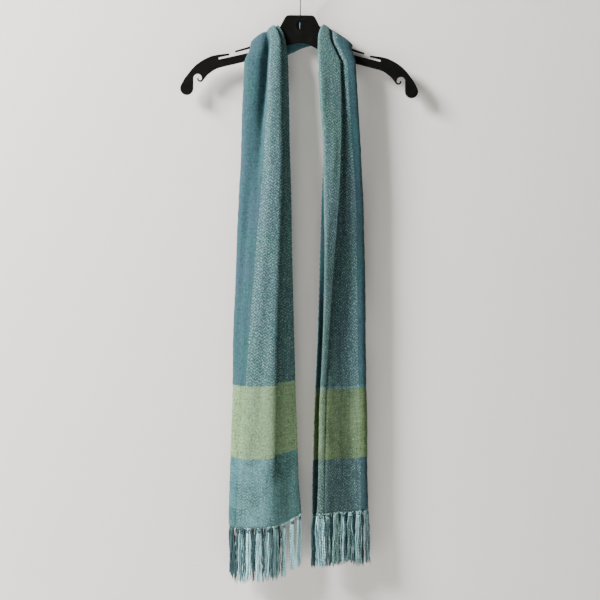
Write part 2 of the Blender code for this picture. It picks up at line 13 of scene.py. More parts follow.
import bpy
import numpy as np
from bpy.types import ID, Material, Node, NodeSocket, NodeTree, Object
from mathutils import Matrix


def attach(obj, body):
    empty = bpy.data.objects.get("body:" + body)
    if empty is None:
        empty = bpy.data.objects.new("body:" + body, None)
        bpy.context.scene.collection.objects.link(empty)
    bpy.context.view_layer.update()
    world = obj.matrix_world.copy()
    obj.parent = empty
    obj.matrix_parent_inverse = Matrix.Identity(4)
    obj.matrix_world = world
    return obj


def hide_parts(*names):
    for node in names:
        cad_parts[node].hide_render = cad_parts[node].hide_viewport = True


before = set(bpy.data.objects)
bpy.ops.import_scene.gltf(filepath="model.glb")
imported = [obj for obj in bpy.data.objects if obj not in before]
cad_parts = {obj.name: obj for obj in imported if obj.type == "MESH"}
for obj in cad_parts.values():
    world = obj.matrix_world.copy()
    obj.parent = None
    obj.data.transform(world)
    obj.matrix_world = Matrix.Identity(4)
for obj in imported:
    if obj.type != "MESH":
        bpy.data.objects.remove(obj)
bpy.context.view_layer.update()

log = logging.getLogger("scarf")

Array = np.ndarray
Pair = tuple[float, float]
Color = tuple[float, float, float]
Place = tuple[float, float, float]

MM = 0.001
WIDTH = 220.0

# Threads to a metre of the cloth's width and of its length.
THREADS_ACROSS = 790.0
THREADS_ALONG = 735.0

# A place across, in metres, inside the dark stripe, and where the fringe's pale yarns end.
DARK_WARP = 0.15
PALE_WARP = 0.130

# Curve points from one section point to the next, and the section point where the dark stripe starts.
PER_SPAN = 10
STRIPE_POINT = 10


class End(Enum):
    """Which end of the scarf a fringe hangs from."""

    LEFT = "left"
    RIGHT = "right"


# Tables of the drape

# The left drop from the front. Each row is one height below the hook. edge_in: the inner selvedge.
# pleat: how far the pleat behind the ridge reaches. ridge: the fold where the pale stripe turns
# back. front: how far the ridge stands forward. stripe: where the dark stripe starts. edge_out: the
# outer fold. back: the outer selvedge behind. groove: depth of the crease beside the pale stripe.
# open: 0 where the pleat is closed, 1 where it has opened.
LEFT_COLUMNS = (
    "drop", "edge_in", "pleat", "ridge", "front", "stripe", "edge_out", "back", "groove", "open",
)
LEFT_ROWS = (
    (166, -23.1, 18, -35.5, 17.0, -56.2, -101.8, -40, 7.0, 0.0),
    (232, -21.5, 19, -35.5, 20.0, -59.2, -104.6, -42, 6.0, 0.0),
    (313, -20.1, 23, -35.0, 23.5, -63.9, -107.2, -46, 3.0, 0.0),
    (413, -17.4, 26, -36.0, 26.0, -72.2, -111.6, -50, 0.0, 0.0),
    (505, -15.9, 23, -39.2, 27.0, -79.8, -115.6, -52, 0.0, 0.0),
    (597, -13.8, 19, -42.2, 27.5, -87.5, -119.4, -54, 0.0, 0.0),
    (690, -11.4, 15, -45.0, 27.5, -94.4, -122.2, -54, 0.0, 0.0),
    (775, -9.2, 12, -46.6, 27.0, -99.8, -124.2, -52, 0.0, 0.0),
    (856, -6.6, 8, -47.5, 26.5, -107.0, -126.6, -48, 0.0, 0.1),
    (928, -4.2, 3, -52.0, 26.0, -112.6, -128.5, -44, 0.0, 1.0),
    (988, 0.9, 2, -54.0, 25.0, -116.6, -130.1, -41, 0.0, 1.0),
)

# The right drop, with stripe, edge_out and back as above. sel: the inner selvedge, the free edge of
# the flap turned to the front. sel_out: how far it stands forward. turn: how far the flap's bend
# does. fold: the inner fold. behind: bulge of the cloth behind the flap. recess: the deep gap.
# ridge: the crest beyond it. level: how far the crest stands forward.
RIGHT_COLUMNS = (
    "drop", "sel", "sel_out", "turn", "fold", "behind", "recess", "ridge", "level", "stripe", "edge_out",
    "back",
)
RIGHT_ROWS = (
    (166, 71.5, 14.5, 18.5, 31.7, 7.0, 75.0, 79.5, 12.4, 83.0, 98.3, 35.0),
    (232, 73.3, 17.3, 21.0, 34.6, 7.0, 78.0, 83.5, 12.4, 86.5, 102.1, 37.5),
    (313, 73.2, 20.8, 23.5, 39.4, 7.0, 79.4, 88.5, 12.0, 91.5, 107.2, 41.0),
    (413, 69.0, 23.8, 25.0, 41.9, 7.0, 76.0, 95.0, 10.8, 98.0, 112.2, 37.4),
    (505, 62.1, 24.2, 25.3, 42.7, 7.2, 73.4, 96.0, 8.4, 100.0, 114.8, 34.8),
    (597, 55.2, 22.6, 23.3, 41.6, 9.8, 71.5, 96.0, 6.2, 101.0, 116.2, 32.4),
    (690, 49.2, 19.8, 20.6, 38.2, 15.0, 73.0, 95.4, 4.8, 102.0, 116.8, 29.2),
    (775, 44.2, 17.6, 17.8, 34.4, 16.2, 74.5, 98.0, 4.2, 104.5, 117.4, 25.4),
    (856, 42.6, 16.9, 16.8, 32.2, 16.5, 75.5, 101.0, 4.0, 106.5, 118.4, 22.2),
    (928, 42.0, 16.8, 16.4, 30.6, 16.5, 75.5, 102.4, 4.0, 107.5, 119.6, 20.8),
    (977, 41.3, 16.8, 16.3, 29.1, 16.5, 75.5, 103.2, 4.1, 108.0, 121.0, 20.8),
)

# Where the back layer's selvedge starts to curl forward beside the inner fold, and over what height.
CURL_START = 430.0
CURL_REACH = 230.0

# How much lower (+) or higher (-) each of the 18 section points ends than the row's own height.
LEFT_SAG = (-8, 1, 7, 9, 10, 10.5, 11, 12, 12.5, 15.5, 15, 14, 13, 10, 8, 6, 6, 6)
RIGHT_SAG = (1, 1, 2, 3, 3, 1, 0, 0, 0, -1, -2, -3, -4, -5, -5, -4, 0, 3)

# Where the opened pleat's points lie from selvedge (0) to stripe (1), and their share of the reach.
OPEN_SHARE = (0.0, 0.13, 0.24, 0.285, 0.32, 0.35, 0.38, 0.415, 0.46, 0.72, 1.0)
OPEN_DEPTH = (0.04, 0.25, 0.45, 0.56, 0.66, 0.75, 0.84, 0.92, 0.98, 0.95, 0.74)

# Sections across the strip from the left arm over the back to the right arm. x, z: the inner edge.
# lean: turn of the width from level. over: 0 in front, 90 on top, 180 behind, 360 in front again.
# width, depth: scale. clear: from the plate's middle to the innermost layer.
NECK_COLUMNS = ("x", "z", "lean", "over", "width", "depth", "clear")
NECK_KEYS = (
    (-23.1, -166.0, 0, 0, 1.00, 1.00, 4.2),
    (-25.6, -139.0, 12, 0, 0.99, 0.92, 4.2),
    (-30.6, -116.0, 26, 4, 0.98, 0.72, 4.2),
    (-37.2, -103.4, 33, 45, 0.90, 0.49, 5.1),
    (-38.2, -103.0, 33, 90, 0.89, 0.42, 3.9),
    (-38.8, -102.6, 35, 140, 0.86, 0.50, 5.1),
    (-38.0, -102.4, 58, 176, 0.84, 0.70, 4.4),
    (-33.0, -99.0, 95, 180, 0.80, 0.84, 4.2),
    (-13.5, -88.0, 113, 180, 0.83, 0.88, 4.2),
    (10.0, -87.0, 124, 180, 0.86, 0.88, 4.2),
    (28.0, -94.0, 139, 184, 0.92, 0.78, 4.2),
    (35.0, -102.8, 146, 220, 0.98, 0.56, 5.1),
    (36.0, -104.8, 146.5, 270, 1.00, 0.43, 3.9),
    (34.6, -105.0, 148, 315, 1.00, 0.50, 5.0),
    (31.8, -116.0, 155, 356, 1.00, 0.74, 4.2),
    (30.8, -139.0, 168, 360, 1.00, 0.92, 4.2),
    (31.7, -166.0, 180, 360, 1.00, 1.00, 4.2),
)

# Shares of the neck's path where each section shape stands: the left drop's own, the five below in
# the order named in neck_points, and the right drop's own.
NECK_STAGES = (0.0, 0.25, 0.44, 0.56, 0.67, 0.76, 1.0)

# Section shapes over the neck, as (across, out) from the inner edge and the hanger. The two saddles
# lie on top of the arms, where the stripes near the selvedge bunch towards the block.
LEFT_SADDLE = (
    (0, 4.6), (10, 4.3), (18, 4.6), (20, 6.7), (18, 8.8), (13, 8.6), (8, 9), (6, 11.2), (8, 13.2),
    (13, 13.8), (19, 12.8), (24, 7.4), (33, 13.0), (52, 11.8), (63, 5.5), (58, 1.1), (34, 0.2), (8, 0.9),
)
RIGHT_SADDLE = (
    (7, 14.2), (5, 14), (2, 12.6), (0, 9.6), (2, 6.6), (5, 6.4), (9, 5.8), (12, 5.6), (15, 9.5),
    (19, 12.8), (24, 13.8), (35, 14.2), (46, 13.2), (57, 10.5), (65, 5), (60, 0.7), (35, 0), (5, 0.6),
)
GATHERED = (
    (0, 4.6), (17, 4.3), (31, 4.6), (34, 6.7), (31, 8.8), (21, 8.6), (11, 9), (8, 11.2), (11, 13.4),
    (23, 14.6), (34, 12), (43, 8.5), (51, 13), (59, 11), (64, 5.5), (59, 0.9), (34, 0), (8, 0.8),
)
OPENED = (
    (2, 6), (8, 9), (14, 6.6), (17, 4.8), (20, 7), (22, 11), (24, 14.6), (27, 16.4), (30, 14.6),
    (35, 8.5), (40, 12.5), (45, 16), (50, 13), (55, 8.5), (60, 5), (55, 0.9), (33, 0), (7, 0.6),
)
CURLED = (
    (28, 14.6), (15, 14.2), (3, 12.6), (0, 9.6), (3, 6.6), (15, 6.6), (28, 5.8), (37, 5), (42, 9.5),
    (47, 14), (52, 14.8), (56, 12.8), (60, 11), (63, 8.6), (65, 5), (60, 0.7), (35, 0), (5, 0.6),
)

# Soft creases: the place across, the start and stop along the scarf from its left end,
# the rise (a ridge, or a trough where negative), the half width, and the drift sideways.
CREASES = (
    (24, -40, 300, 1.6, 8, -6),
    (9, -30, 240, -1.1, 6, 3),
    (40, 20, 210, -1.3, 7, 8),
    (72, -60, 330, -1.2, 8, 6),
    (92, 60, 560, 1.3, 9, -9),
    (104, 300, 800, -0.9, 6, 5),
    (128, 60, 640, -1.2, 7, 4),
    (139, 240, 860, 1.5, 8, -5),
    (150, -20, 300, 1.2, 8, 5),
    (170, 120, 720, -1.4, 9, 8),
    (186, -40, 460, 1.5, 10, -8),
    (203, 300, 820, -1.3, 8, 5),
    (18, 1130, 1560, 1.1, 7, 6),
    (31, 1300, 1860, -0.5, 6, -5),
    (46, 1500, 1930, 0.2, 7, 4),
    (66, 1480, 1940, -0.4, 9, 6),
    (80, 1160, 1700, 0.3, 7, -5),
    (98, 1420, 1940, 0.3, 8, 5),
    (110, 1150, 1620, -0.6, 7, -3),
    (126, 1340, 1940, -1.3, 7, 4),
    (142, 1160, 1640, 1.2, 7, -4),
    (166, 1240, 1900, 1.4, 9, 7),
    (182, 1120, 1560, -1.3, 9, -7),
    (200, 1380, 1940, 1.2, 8, 5),
)


# Shapes


def hermite(t: Array, start: Array, leave: Array, end: Array, arrive: Array) -> Array:
    """Run a cubic Hermite piece.

    Args:
        t: Shares of the piece, 0 to 1.
        start: Its first value.
        leave: Its slope there.
        end: Its last value.
        arrive: Its slope there.

    Returns:
        Its values at the shares.
    """
    return (
        (2 * t**3 - 3 * t**2 + 1) * start
        + (t**3 - 2 * t**2 + t) * leave
        + (3 * t**2 - 2 * t**3) * end
        + (t**3 - t**2) * arrive
    )


def read_table(columns: tuple[str, ...], rows: Array, places: Array) -> dict[str, Array]:
    """Read a table on smooth curves through its rows, keyed by its first column.

    Each stretch is a cubic Hermite piece whose end slopes are central differences of the rows.

    Args:
        columns: The columns' names.
        rows: The table, with its first column rising.
        places: Values of the first column to read at.

    Returns:
        One array for each column name.
    """
    table = np.asarray(rows, dtype=float)
    key = table[:, 0]
    slopes = np.gradient(table, key, axis=0)
    at = np.clip(np.searchsorted(key, places) - 1, 0, len(key) - 2)
    step = (key[at + 1] - key[at])[:, None]
    t = (places - key[at])[:, None] / step
    out = hermite(t, table[at], step * slopes[at], table[at + 1], step * slopes[at + 1])
    return dict(zip(columns, out.T))


def curve_through(points: Array, per_span: int) -> Array:
    """Run centripetal Catmull-Rom curves through rows of section points.

    Between neighbouring points the curve is a cubic whose slopes weigh the chords on either side
    by the square roots of their lengths, so tight folds stay round.

    Args:
        points: Section points, (rows, count, axes).
        per_span: Columns laid between two section points.

    Returns:
        Points on the curves, (rows, (count - 1) * per_span + 1, axes).
    """
    first = 2 * points[:, :1] - points[:, 1:2]
    last = 2 * points[:, -1:] - points[:, -2:-1]
    padded = np.concatenate([first, points, last], axis=1)
    knots = np.sqrt(np.linalg.norm(np.diff(padded, axis=1), axis=2)) + 1e-6
    p0, p1, p2, p3 = padded[:, :-3], padded[:, 1:-2], padded[:, 2:-1], padded[:, 3:]
    d0, d1, d2 = knots[:, :-2, None], knots[:, 1:-1, None], knots[:, 2:, None]
    m1 = ((p1 - p0) / d0 - (p2 - p0) / (d0 + d1) + (p2 - p1) / d1) * d1
    m2 = ((p2 - p1) / d1 - (p3 - p1) / (d1 + d2) + (p3 - p2) / d2) * d1
    t = (np.arange(per_span) / per_span)[None, None, :, None]
    body = hermite(t, *(part[:, :, None, :] for part in (p1, m1, p2, m2)))
    body = body.reshape(points.shape[0], -1, points.shape[2])
    return np.concatenate([body, points[:, -1:]], axis=1)


def run_length(line: Array) -> Array:
    """Give the running length along each row of points, from 0."""
    steps = np.linalg.norm(np.diff(line, axis=1), axis=2)
    return np.concatenate([np.zeros((len(line), 1)), np.cumsum(steps, axis=1)], axis=1)


def unit(vectors: Array) -> Array:
    """Scale vectors on the last axis to length 1."""
    return vectors / np.maximum(np.linalg.norm(vectors, axis=-1, keepdims=True), 1e-9)


def bell(distance: Array) -> Array:
    """Give a smooth bump: 1 in the middle, falling as exp(-x squared)."""
    return np.exp(-(distance**2))


def ease(value: Array) -> Array:
    """Clip to 0..1 and ease both ends with 3 t^2 - 2 t^3."""
    t = np.clip(value, 0.0, 1.0)
    return t * t * (3.0 - 2.0 * t)


def section(points: list[tuple[Array, Array]]) -> Array:
    """Stack the (x, out) of each section point into (rows, points, 2)."""
    return np.stack([np.stack(point, axis=1) for point in points], axis=1)


def add_object(name: str, data: ID) -> Object:
    """Add an object with the given data to the scene."""
    made = bpy.data.objects.new(name, data)
    bpy.context.scene.collection.objects.link(made)
    return made


@dataclass
class Surface:
    """Points and faces of a mesh, with values kept for its materials."""

    points: Array
    faces: list
    values: dict[str, Array]

    def to_object(self, name: str, material: Material) -> Object:
        """Make a smooth-shaded object at the origin.

        Args:
            name: The object's name.
            material: Its only material.

        Returns:
            The object, linked to the scene.
        """
        mesh = bpy.data.meshes.new(name)
        mesh.from_pydata((self.points * MM).tolist(), [], self.faces)
        for key, data in self.values.items():
            if key == "threads":
                layer = mesh.uv_layers.new(name=key)
                corners = np.empty(len(mesh.loops), dtype=np.int32)
                mesh.loops.foreach_get("vertex_index", corners)
                layer.data.foreach_set("uv", data[corners].astype(np.float32).ravel())
            else:
                kind = "FLOAT" if data.ndim == 1 else "FLOAT_VECTOR"
                attribute = mesh.attributes.new(key, kind, "POINT")
                target = "value" if data.ndim == 1 else "vector"
                attribute.data.foreach_set(target, data.astype(np.float32).ravel())
        mesh.shade_smooth()
        mesh.materials.append(material)
        return add_object(name, mesh)


def sweep(paths: Array, radius: Array, sides: int, reference: Place) -> tuple[Array, list, Array]:
    """Carry a circle along many paths at once.

    At each path point the circle lies square to the path: one of its axes is the cross product of
    the path's direction and the reference direction, the other is square to both.

    Args:
        paths: Points, (count, steps, 3).
        radius: Radius at each point, (count, steps).
        sides: Points round each circle.
        reference: A direction that no path runs along.

    Returns:
        The points, the faces with closed ends, and (cosine, sine, running length in metres) for
        each point.
    """
    count, steps = paths.shape[:2]
    ahead = unit(np.gradient(paths, axis=1))
    side = unit(np.cross(ahead, reference))
    upper = np.cross(side, ahead)
    angle = np.linspace(0.0, 2.0 * np.pi, sides, endpoint=False)
    cos, sin = np.cos(angle)[:, None], np.sin(angle)[:, None]
    ring = cos * side[:, :, None] + sin * upper[:, :, None]
    points = paths[:, :, None] + radius[:, :, None, None] * ring
    index = np.arange(count * steps * sides).reshape(count, steps, sides)
    onward = np.roll(index, -1, axis=2)
    corners = (index[:, :-1], onward[:, :-1], onward[:, 1:], index[:, 1:])
    faces = np.stack(corners, axis=3).reshape(-1, 4).tolist()
    faces += index[:, 0, ::-1].tolist() + index[:, -1].tolist()
    run = run_length(paths)[:, :, None] * MM
    turn = np.stack(np.broadcast_arrays(np.cos(angle), np.sin(angle), run), axis=3)
    return points.reshape(-1, 3), faces, turn.reshape(-1, 3)


# Finishes


class Graph:
    """Short ways to add and join shader nodes in one tree."""

    def __init__(self, tree: NodeTree) -> None:
        """Work in the given tree."""
        self.tree = tree

    def node(self, kind: str, **settings: object) -> Node:
        """Add a node and set its properties.

        Args:
            kind: The node's type without its ShaderNode prefix.
            settings: Properties to set on it.

        Returns:
            The new node.
        """
        made = self.tree.nodes.new("ShaderNode" + kind)
        for name, value in settings.items():
            setattr(made, name, value)
        return made

    def put(self, socket: NodeSocket, value: object) -> None:
        """Link a socket, or set a constant, on an input.

        Args:
            socket: The input.
            value: An output to link, a number, or a colour of three values.
        """
        if isinstance(value, NodeSocket):
            self.tree.links.new(value, socket)
        elif isinstance(value, tuple) and len(value) == 3 and socket.type == "RGBA":
            socket.default_value = (*value, 1.0)
        else:
            socket.default_value = value

    def fill(self, node: Node, values: dict[str, object]) -> Node:
        """Put values on a node's inputs by name and return the node."""
        for name, value in values.items():
            self.put(node.inputs[name], value)
        return node

    def feed(self, node: Node, *values: object) -> NodeSocket:
        """Put values on a node's first inputs in turn and return its first output."""
        for socket, value in zip(node.inputs, values):
            self.put(socket, value)
        return node.outputs[0]

    def math(self, operation: str, *values: object) -> NodeSocket:
        """Add a Math node on the given values."""
        return self.feed(self.node("Math", operation=operation), *values)

    def times(self, *values: object) -> NodeSocket:
        """Multiply two or more values in turn."""
        return reduce(partial(self.math, "MULTIPLY"), values)

    def plus(self, *values: object) -> NodeSocket:
        """Add up two or more values in turn."""
        return reduce(partial(self.math, "ADD"), values)

    def minus(self, first: object, second: object) -> NodeSocket:
        """Take the second value from the first."""
        return self.math("SUBTRACT", first, second)

    def vector(self, *parts: object) -> NodeSocket:
        """Combine up to three values into a vector."""
        return self.feed(self.node("CombineXYZ"), *parts)

    def parts(self, vector: NodeSocket) -> tuple[NodeSocket, ...]:
        """Take a vector apart into its three values."""
        made = self.node("SeparateXYZ")
        self.put(made.inputs[0], vector)
        return tuple(made.outputs)

    def spread(self, value: object, low: float, high: float, *target: float) -> NodeSocket:
        """Map low..high onto the target's two values, or onto 0..1, clamped."""
        return self.feed(self.node("MapRange", clamp=True), value, low, high, *(target or (0.0, 1.0)))

    def attribute(self, name: str, output: str = "Fac") -> NodeSocket:
        """Read an attribute of the mesh."""
        return self.node("Attribute", attribute_name=name).outputs[output]

    def noise(self, place: NodeSocket, scale: float, detail: float = 2.0, rough: float = 0.5) -> NodeSocket:
        """Add a Noise Texture.

        Args:
            place: Where the noise is read.
            scale: Features to one unit of the place.
            detail: How many finer layers are added.
            rough: How strong each finer layer is.

        Returns:
            The noise's value, mostly between 0.3 and 0.7.
        """
        made = self.node("TexNoise")
        self.fill(made, {"Vector": place, "Scale": scale, "Detail": detail, "Roughness": rough})
        return made.outputs["Fac"]

    def mix(self, factor: object, low: object, high: object, blend: str = "MIX") -> NodeSocket:
        """Mix two colours.

        Args:
            factor: 0 for the first colour, 1 for the second.
            low: The first colour.
            high: The second colour.
            blend: Blender's name for the way they are blended.

        Returns:
            The mixed colour.
        """
        made = self.node("Mix", data_type="RGBA", blend_type=blend, clamp_factor=True)
        for place, value in ((0, factor), (6, low), (7, high)):
            self.put(made.inputs[place], value)
        return made.outputs[2]

    def scaled(self, color: NodeSocket, factor: object) -> NodeSocket:
        """Multiply a colour by one value."""
        made = self.node("VectorMath", operation="SCALE")
        self.put(made.inputs["Scale"], factor)
        return self.feed(made, color)

    def steps(self, value: NodeSocket, places: tuple[float, ...], colors: tuple[Color, ...]) -> NodeSocket:
        """Give one flat colour for each stretch of a 0..1 value.

        Args:
            value: The value.
            places: Where each stretch starts, rising from 0.
            colors: The stretches' colours.

        Returns:
            The colour.
        """
        ramp = self.node("ValToRGB")
        ramp.color_ramp.interpolation = "CONSTANT"
        points = ramp.color_ramp.elements
        while len(points) < len(places):
            points.new(0.5)
        for point, place, color in zip(points, places, colors):
            point.position = place
            point.color = (*color, 1.0)
        return self.feed(ramp, value)

    def group(self, tree: NodeTree, **inputs: object) -> Node:
        """Place a node group and put values on its inputs by name."""
        return self.fill(self.node("Group", node_tree=tree), inputs)

    def relief(self, height: NodeSocket, strength: float, distance: float) -> NodeSocket:
        """Turn a height into a bumped normal; the distance is the relief in metres."""
        made = self.fill(self.node("Bump"), {"Strength": strength, "Distance": distance, "Height": height})
        return made.outputs[0]


def new_group(name: str, inputs: dict[str, str], outputs: dict[str, str]) -> tuple[Graph, Node, Node]:
    """Start a shader node group.

    Args:
        name: The group's name.
        inputs: Socket names and their types.
        outputs: Socket names and their types.

    Returns:
        A graph on the group, its input node and its output node.
    """
    tree = bpy.data.node_groups.new(name, "ShaderNodeTree")
    for direction, sockets in (("INPUT", inputs), ("OUTPUT", outputs)):
        for label, kind in sockets.items():
            tree.interface.new_socket(name=label, in_out=direction, socket_type="NodeSocket" + kind)
    return Graph(tree), tree.nodes.new("NodeGroupInput"), tree.nodes.new("NodeGroupOutput")


def new_material(name: str) -> tuple[Material, Graph, Node]:
    """Start a material and give it with a graph on its tree and its shader."""
    made = bpy.data.materials.new(name)
    made.use_nodes = True
    return made, Graph(made.node_tree), made.node_tree.nodes["Principled BSDF"]


@dataclass(frozen=True)
class YarnColors:
    """Linear colours of the dyed yarns."""

    warp_green: Color = (0.135, 0.228, 0.187)
    warp_pale: Color = (0.165, 0.275, 0.266)
    warp_dark: Color = (0.027, 0.069, 0.078)
    weft_teal: Color = (0.021, 0.083, 0.092)
    weft_slate: Color = (0.030, 0.070, 0.104)
    weft_green: Color = (0.178, 0.278, 0.135)
    weft_olive: Color = (0.056, 0.092, 0.031)
    weft_leaf: Color = (0.093, 0.141, 0.061)
    weft_end_left: Color = (0.070, 0.195, 0.218)
    weft_end_right: Color = (0.018, 0.047, 0.056)
    weft_end_navy: Color = (0.010, 0.030, 0.044)


@dataclass(frozen=True)
class WarpStripes:
    """The lengthwise threads, coloured by their place across the cloth.

    The stripes start at shares of the width. Each streak is the noise's step from thread to
    thread, its features a metre along, and its darkest and palest shade.
    """

    colors: YarnColors
    starts: tuple[float, ...] = (0.0, 0.25, 0.536)
    streaks: tuple[tuple[float, ...], ...] = ((0.731, 9.0, 0.74, 1.24), (1.31, 85.0, 0.66, 1.36))

    def group(self) -> NodeTree:
        """Build the group that gives the stripe's colour from the place in metres.

        Noise stretched along the threads changes the shade, slowly from thread to thread and in
        short dashes.

        Returns:
            The group.
        """
        graph, source, result = new_group(
            "warp_stripes", {"Across": "Float", "Along": "Float"}, {"Color": "Color"}
        )
        across, along = source.outputs["Across"], source.outputs["Along"]
        stripes = (self.colors.warp_green, self.colors.warp_pale, self.colors.warp_dark)
        base = graph.steps(graph.math("DIVIDE", across, WIDTH * MM), self.starts, stripes)
        thread = graph.math("FLOOR", graph.times(across, THREADS_ACROSS))
        shades = []
        for step, stretch, low, high in self.streaks:
            place = graph.vector(graph.times(thread, step), graph.times(along, stretch))
            shades.append(graph.spread(graph.noise(place, 1.0, 2.0, 0.6), 0.3, 0.7, low, high))
        graph.put(result.inputs["Color"], graph.scaled(base, graph.times(*shades)))
        return graph.tree


@dataclass(frozen=True)
class BrokenTwill:
    """Two colours of thread interlaced as a twill whose diagonals turn back and break.

    Scales are features a thread. A shade is the pair of factors that a value runs between.
    """

    turn: float = 4.0
    repeat: float = 4.0
    wander_scale: float = 0.11
    wander_threads: float = 5.0
    fleck_scale: float = 0.50
    fleck_share: float = 0.30
    cell_share: float = 0.55
    shown: Pair = (0.10, 0.90)
    # Painted shade: darker in the gaps between threads, a little lighter on their tops.
    gap_painted_shade: Pair = (0.40, 1.14)
    fuzz_scale: float = 0.9
    fuzz_shade: Pair = (0.80, 1.20)
    clump_scale: float = 0.34
    clump_shade: Pair = (0.74, 1.26)
    dash_across: float = 0.6
    dash_along: float = 0.13
    dash_shade: Pair = (1.03, 0.76)
    thread_height: float = 0.7
    fuzz_height: float = 0.6

    def group(self) -> NodeTree:
        """Build the group that gives the woven colour and height.

        A thread of the weft shows where the sum of the warp thread's number, counted to and fro so
        that the diagonal turns back, and the weft thread's number, divided by four, has a fractional
        part under the weft's share. Slow noise shifts the rows, and finer noise and a random value
        for each crossing shift that limit, so the diagonals break. The top thread is a half round,
        which gives the height and paints shade into the gaps between threads. Pairs of warp threads
        are darker in short dashes.

        Returns:
            The group.
        """
        graph, source, result = new_group(
            "thread_weave",
            {"Across": "Float", "Along": "Float", "Warp": "Color", "Weft": "Color", "Share": "Float"},
            {"Color": "Color", "Height": "Float"},
        )
        given = source.outputs
        across = graph.times(given["Across"], THREADS_ACROSS)
        along = graph.times(given["Along"], THREADS_ALONG)
        place = graph.vector(across, along)
        wander = graph.minus(graph.noise(place, self.wander_scale), 0.5)
        column = graph.math("FLOOR", graph.math("PINGPONG", across, self.turn))
        row = graph.math("FLOOR", graph.plus(along, graph.times(wander, self.wander_threads)))
        order = graph.math("FRACT", graph.times(graph.plus(column, row), 1.0 / self.repeat))

        fleck = graph.noise(place, self.fleck_scale, 2.0, 0.6)
        crossing = graph.vector(graph.math("FLOOR", across), graph.math("FLOOR", along))
        cell = graph.fill(graph.node("TexWhiteNoise", noise_dimensions="2D"), {"Vector": crossing})
        stir = graph.times(graph.minus(cell.outputs["Value"], 0.5), self.cell_share)
        shift = graph.spread(fleck, 0.3, 0.7, -self.fleck_share, self.fleck_share)
        upper = graph.math("LESS_THAN", order, graph.plus(given["Share"], shift, stir))
        color = graph.mix(graph.spread(upper, 0.0, 1.0, *self.shown), given["Warp"], given["Weft"])

        arches = []
        for thread in (across, along):
            arches.append(graph.math("SINE", graph.times(graph.math("FRACT", thread), math.pi)))
        half = graph.mix(upper, *arches)
        fuzz = graph.noise(place, self.fuzz_scale, 2.0, 0.7)
        clump = graph.noise(place, self.clump_scale, 2.0, 0.6)
        pair = graph.math("FLOOR", graph.times(across, self.dash_across))
        dash_place = graph.vector(graph.times(pair, 1.7), graph.times(along, self.dash_along))
        tuft = graph.times(
            graph.spread(fuzz, 0.32, 0.68, *self.fuzz_shade),
            graph.spread(clump, 0.32, 0.68, *self.clump_shade),
            graph.spread(graph.noise(dash_place, 1.0), 0.56, 0.66, *self.dash_shade),
        )
        # Painted shade in the gaps between threads, times the tufts' random tone.
        shade = graph.times(graph.spread(half, 0.0, 0.75, *self.gap_painted_shade), tuft)
        height = graph.plus(graph.times(half, self.thread_height), graph.times(fuzz, self.fuzz_height))
        graph.fill(result, {"Color": graph.scaled(color, shade), "Height": height})
        return graph.tree


@dataclass(frozen=True)
class DyePatches:
    """Two shades of dye in patches drawn out along the weft; scales are features a metre."""

    patch_across: float = 22.0
    patch_along: float = 17.0
    streak_across: float = 48.0
    thread_step: float = 0.613
    patch_share: float = 0.6
    streak_share: float = 0.4
    blend: Pair = (0.42, 0.62)
    shade: Pair = (0.84, 1.16)

    def group(self) -> NodeTree:
        """Build the group that mixes the two shades.

        Slow noise makes the patches, and noise that differs from thread to thread breaks their
        edges into streaks along the weft.

        Returns:
            The group.
        """
        graph, source, result = new_group(
            "dye_patches",
            {"Across": "Float", "Along": "Float", "First": "Color", "Second": "Color", "Seed": "Float"},
            {"Color": "Color"},
        )
        across, along, first, second, seed = source.outputs[:5]
        thread = graph.math("FLOOR", graph.times(along, THREADS_ALONG))
        patch_place = (graph.times(across, self.patch_across), graph.times(along, self.patch_along))
        streak_place = (graph.times(across, self.streak_across), graph.times(thread, self.thread_step))
        patch = graph.noise(graph.vector(*patch_place, seed), 1.0)
        streak = graph.noise(graph.vector(*streak_place, seed), 1.0, 2.0, 0.6)
        total = graph.plus(graph.times(patch, self.patch_share), graph.times(streak, self.streak_share))
        color = graph.mix(graph.spread(total, *self.blend), first, second)
        shade = graph.spread(streak, 0.25, 0.75, *self.shade)
        graph.put(result.inputs["Color"], graph.scaled(color, shade))
        return graph.tree


@dataclass(frozen=True)
class SoftSurface:
    """What cloth and yarn share: matt threads with a little fuzz."""

    roughness: float
    relief: float
    bump: float = 0.7
    gloss: float = 0.2
    sheen: float = 0.06
    sheen_roughness: float = 0.5

    def dress(self, graph: Graph, shader: Node, color: NodeSocket, height: NodeSocket) -> None:
        """Set the shader.

        Args:
            graph: A graph on the material's tree.
            shader: The material's shader.
            color: The threads' colour.
            height: The threads' height, which the relief scales to metres.
        """
        values = {
            "Base Color": color,
            "Normal": graph.relief(height, self.bump, self.relief),
            "Roughness": self.roughness,
            "Specular IOR Level": self.gloss,
            "Sheen Weight": self.sheen,
            "Sheen Roughness": self.sheen_roughness,
        }
        graph.fill(shader, values)


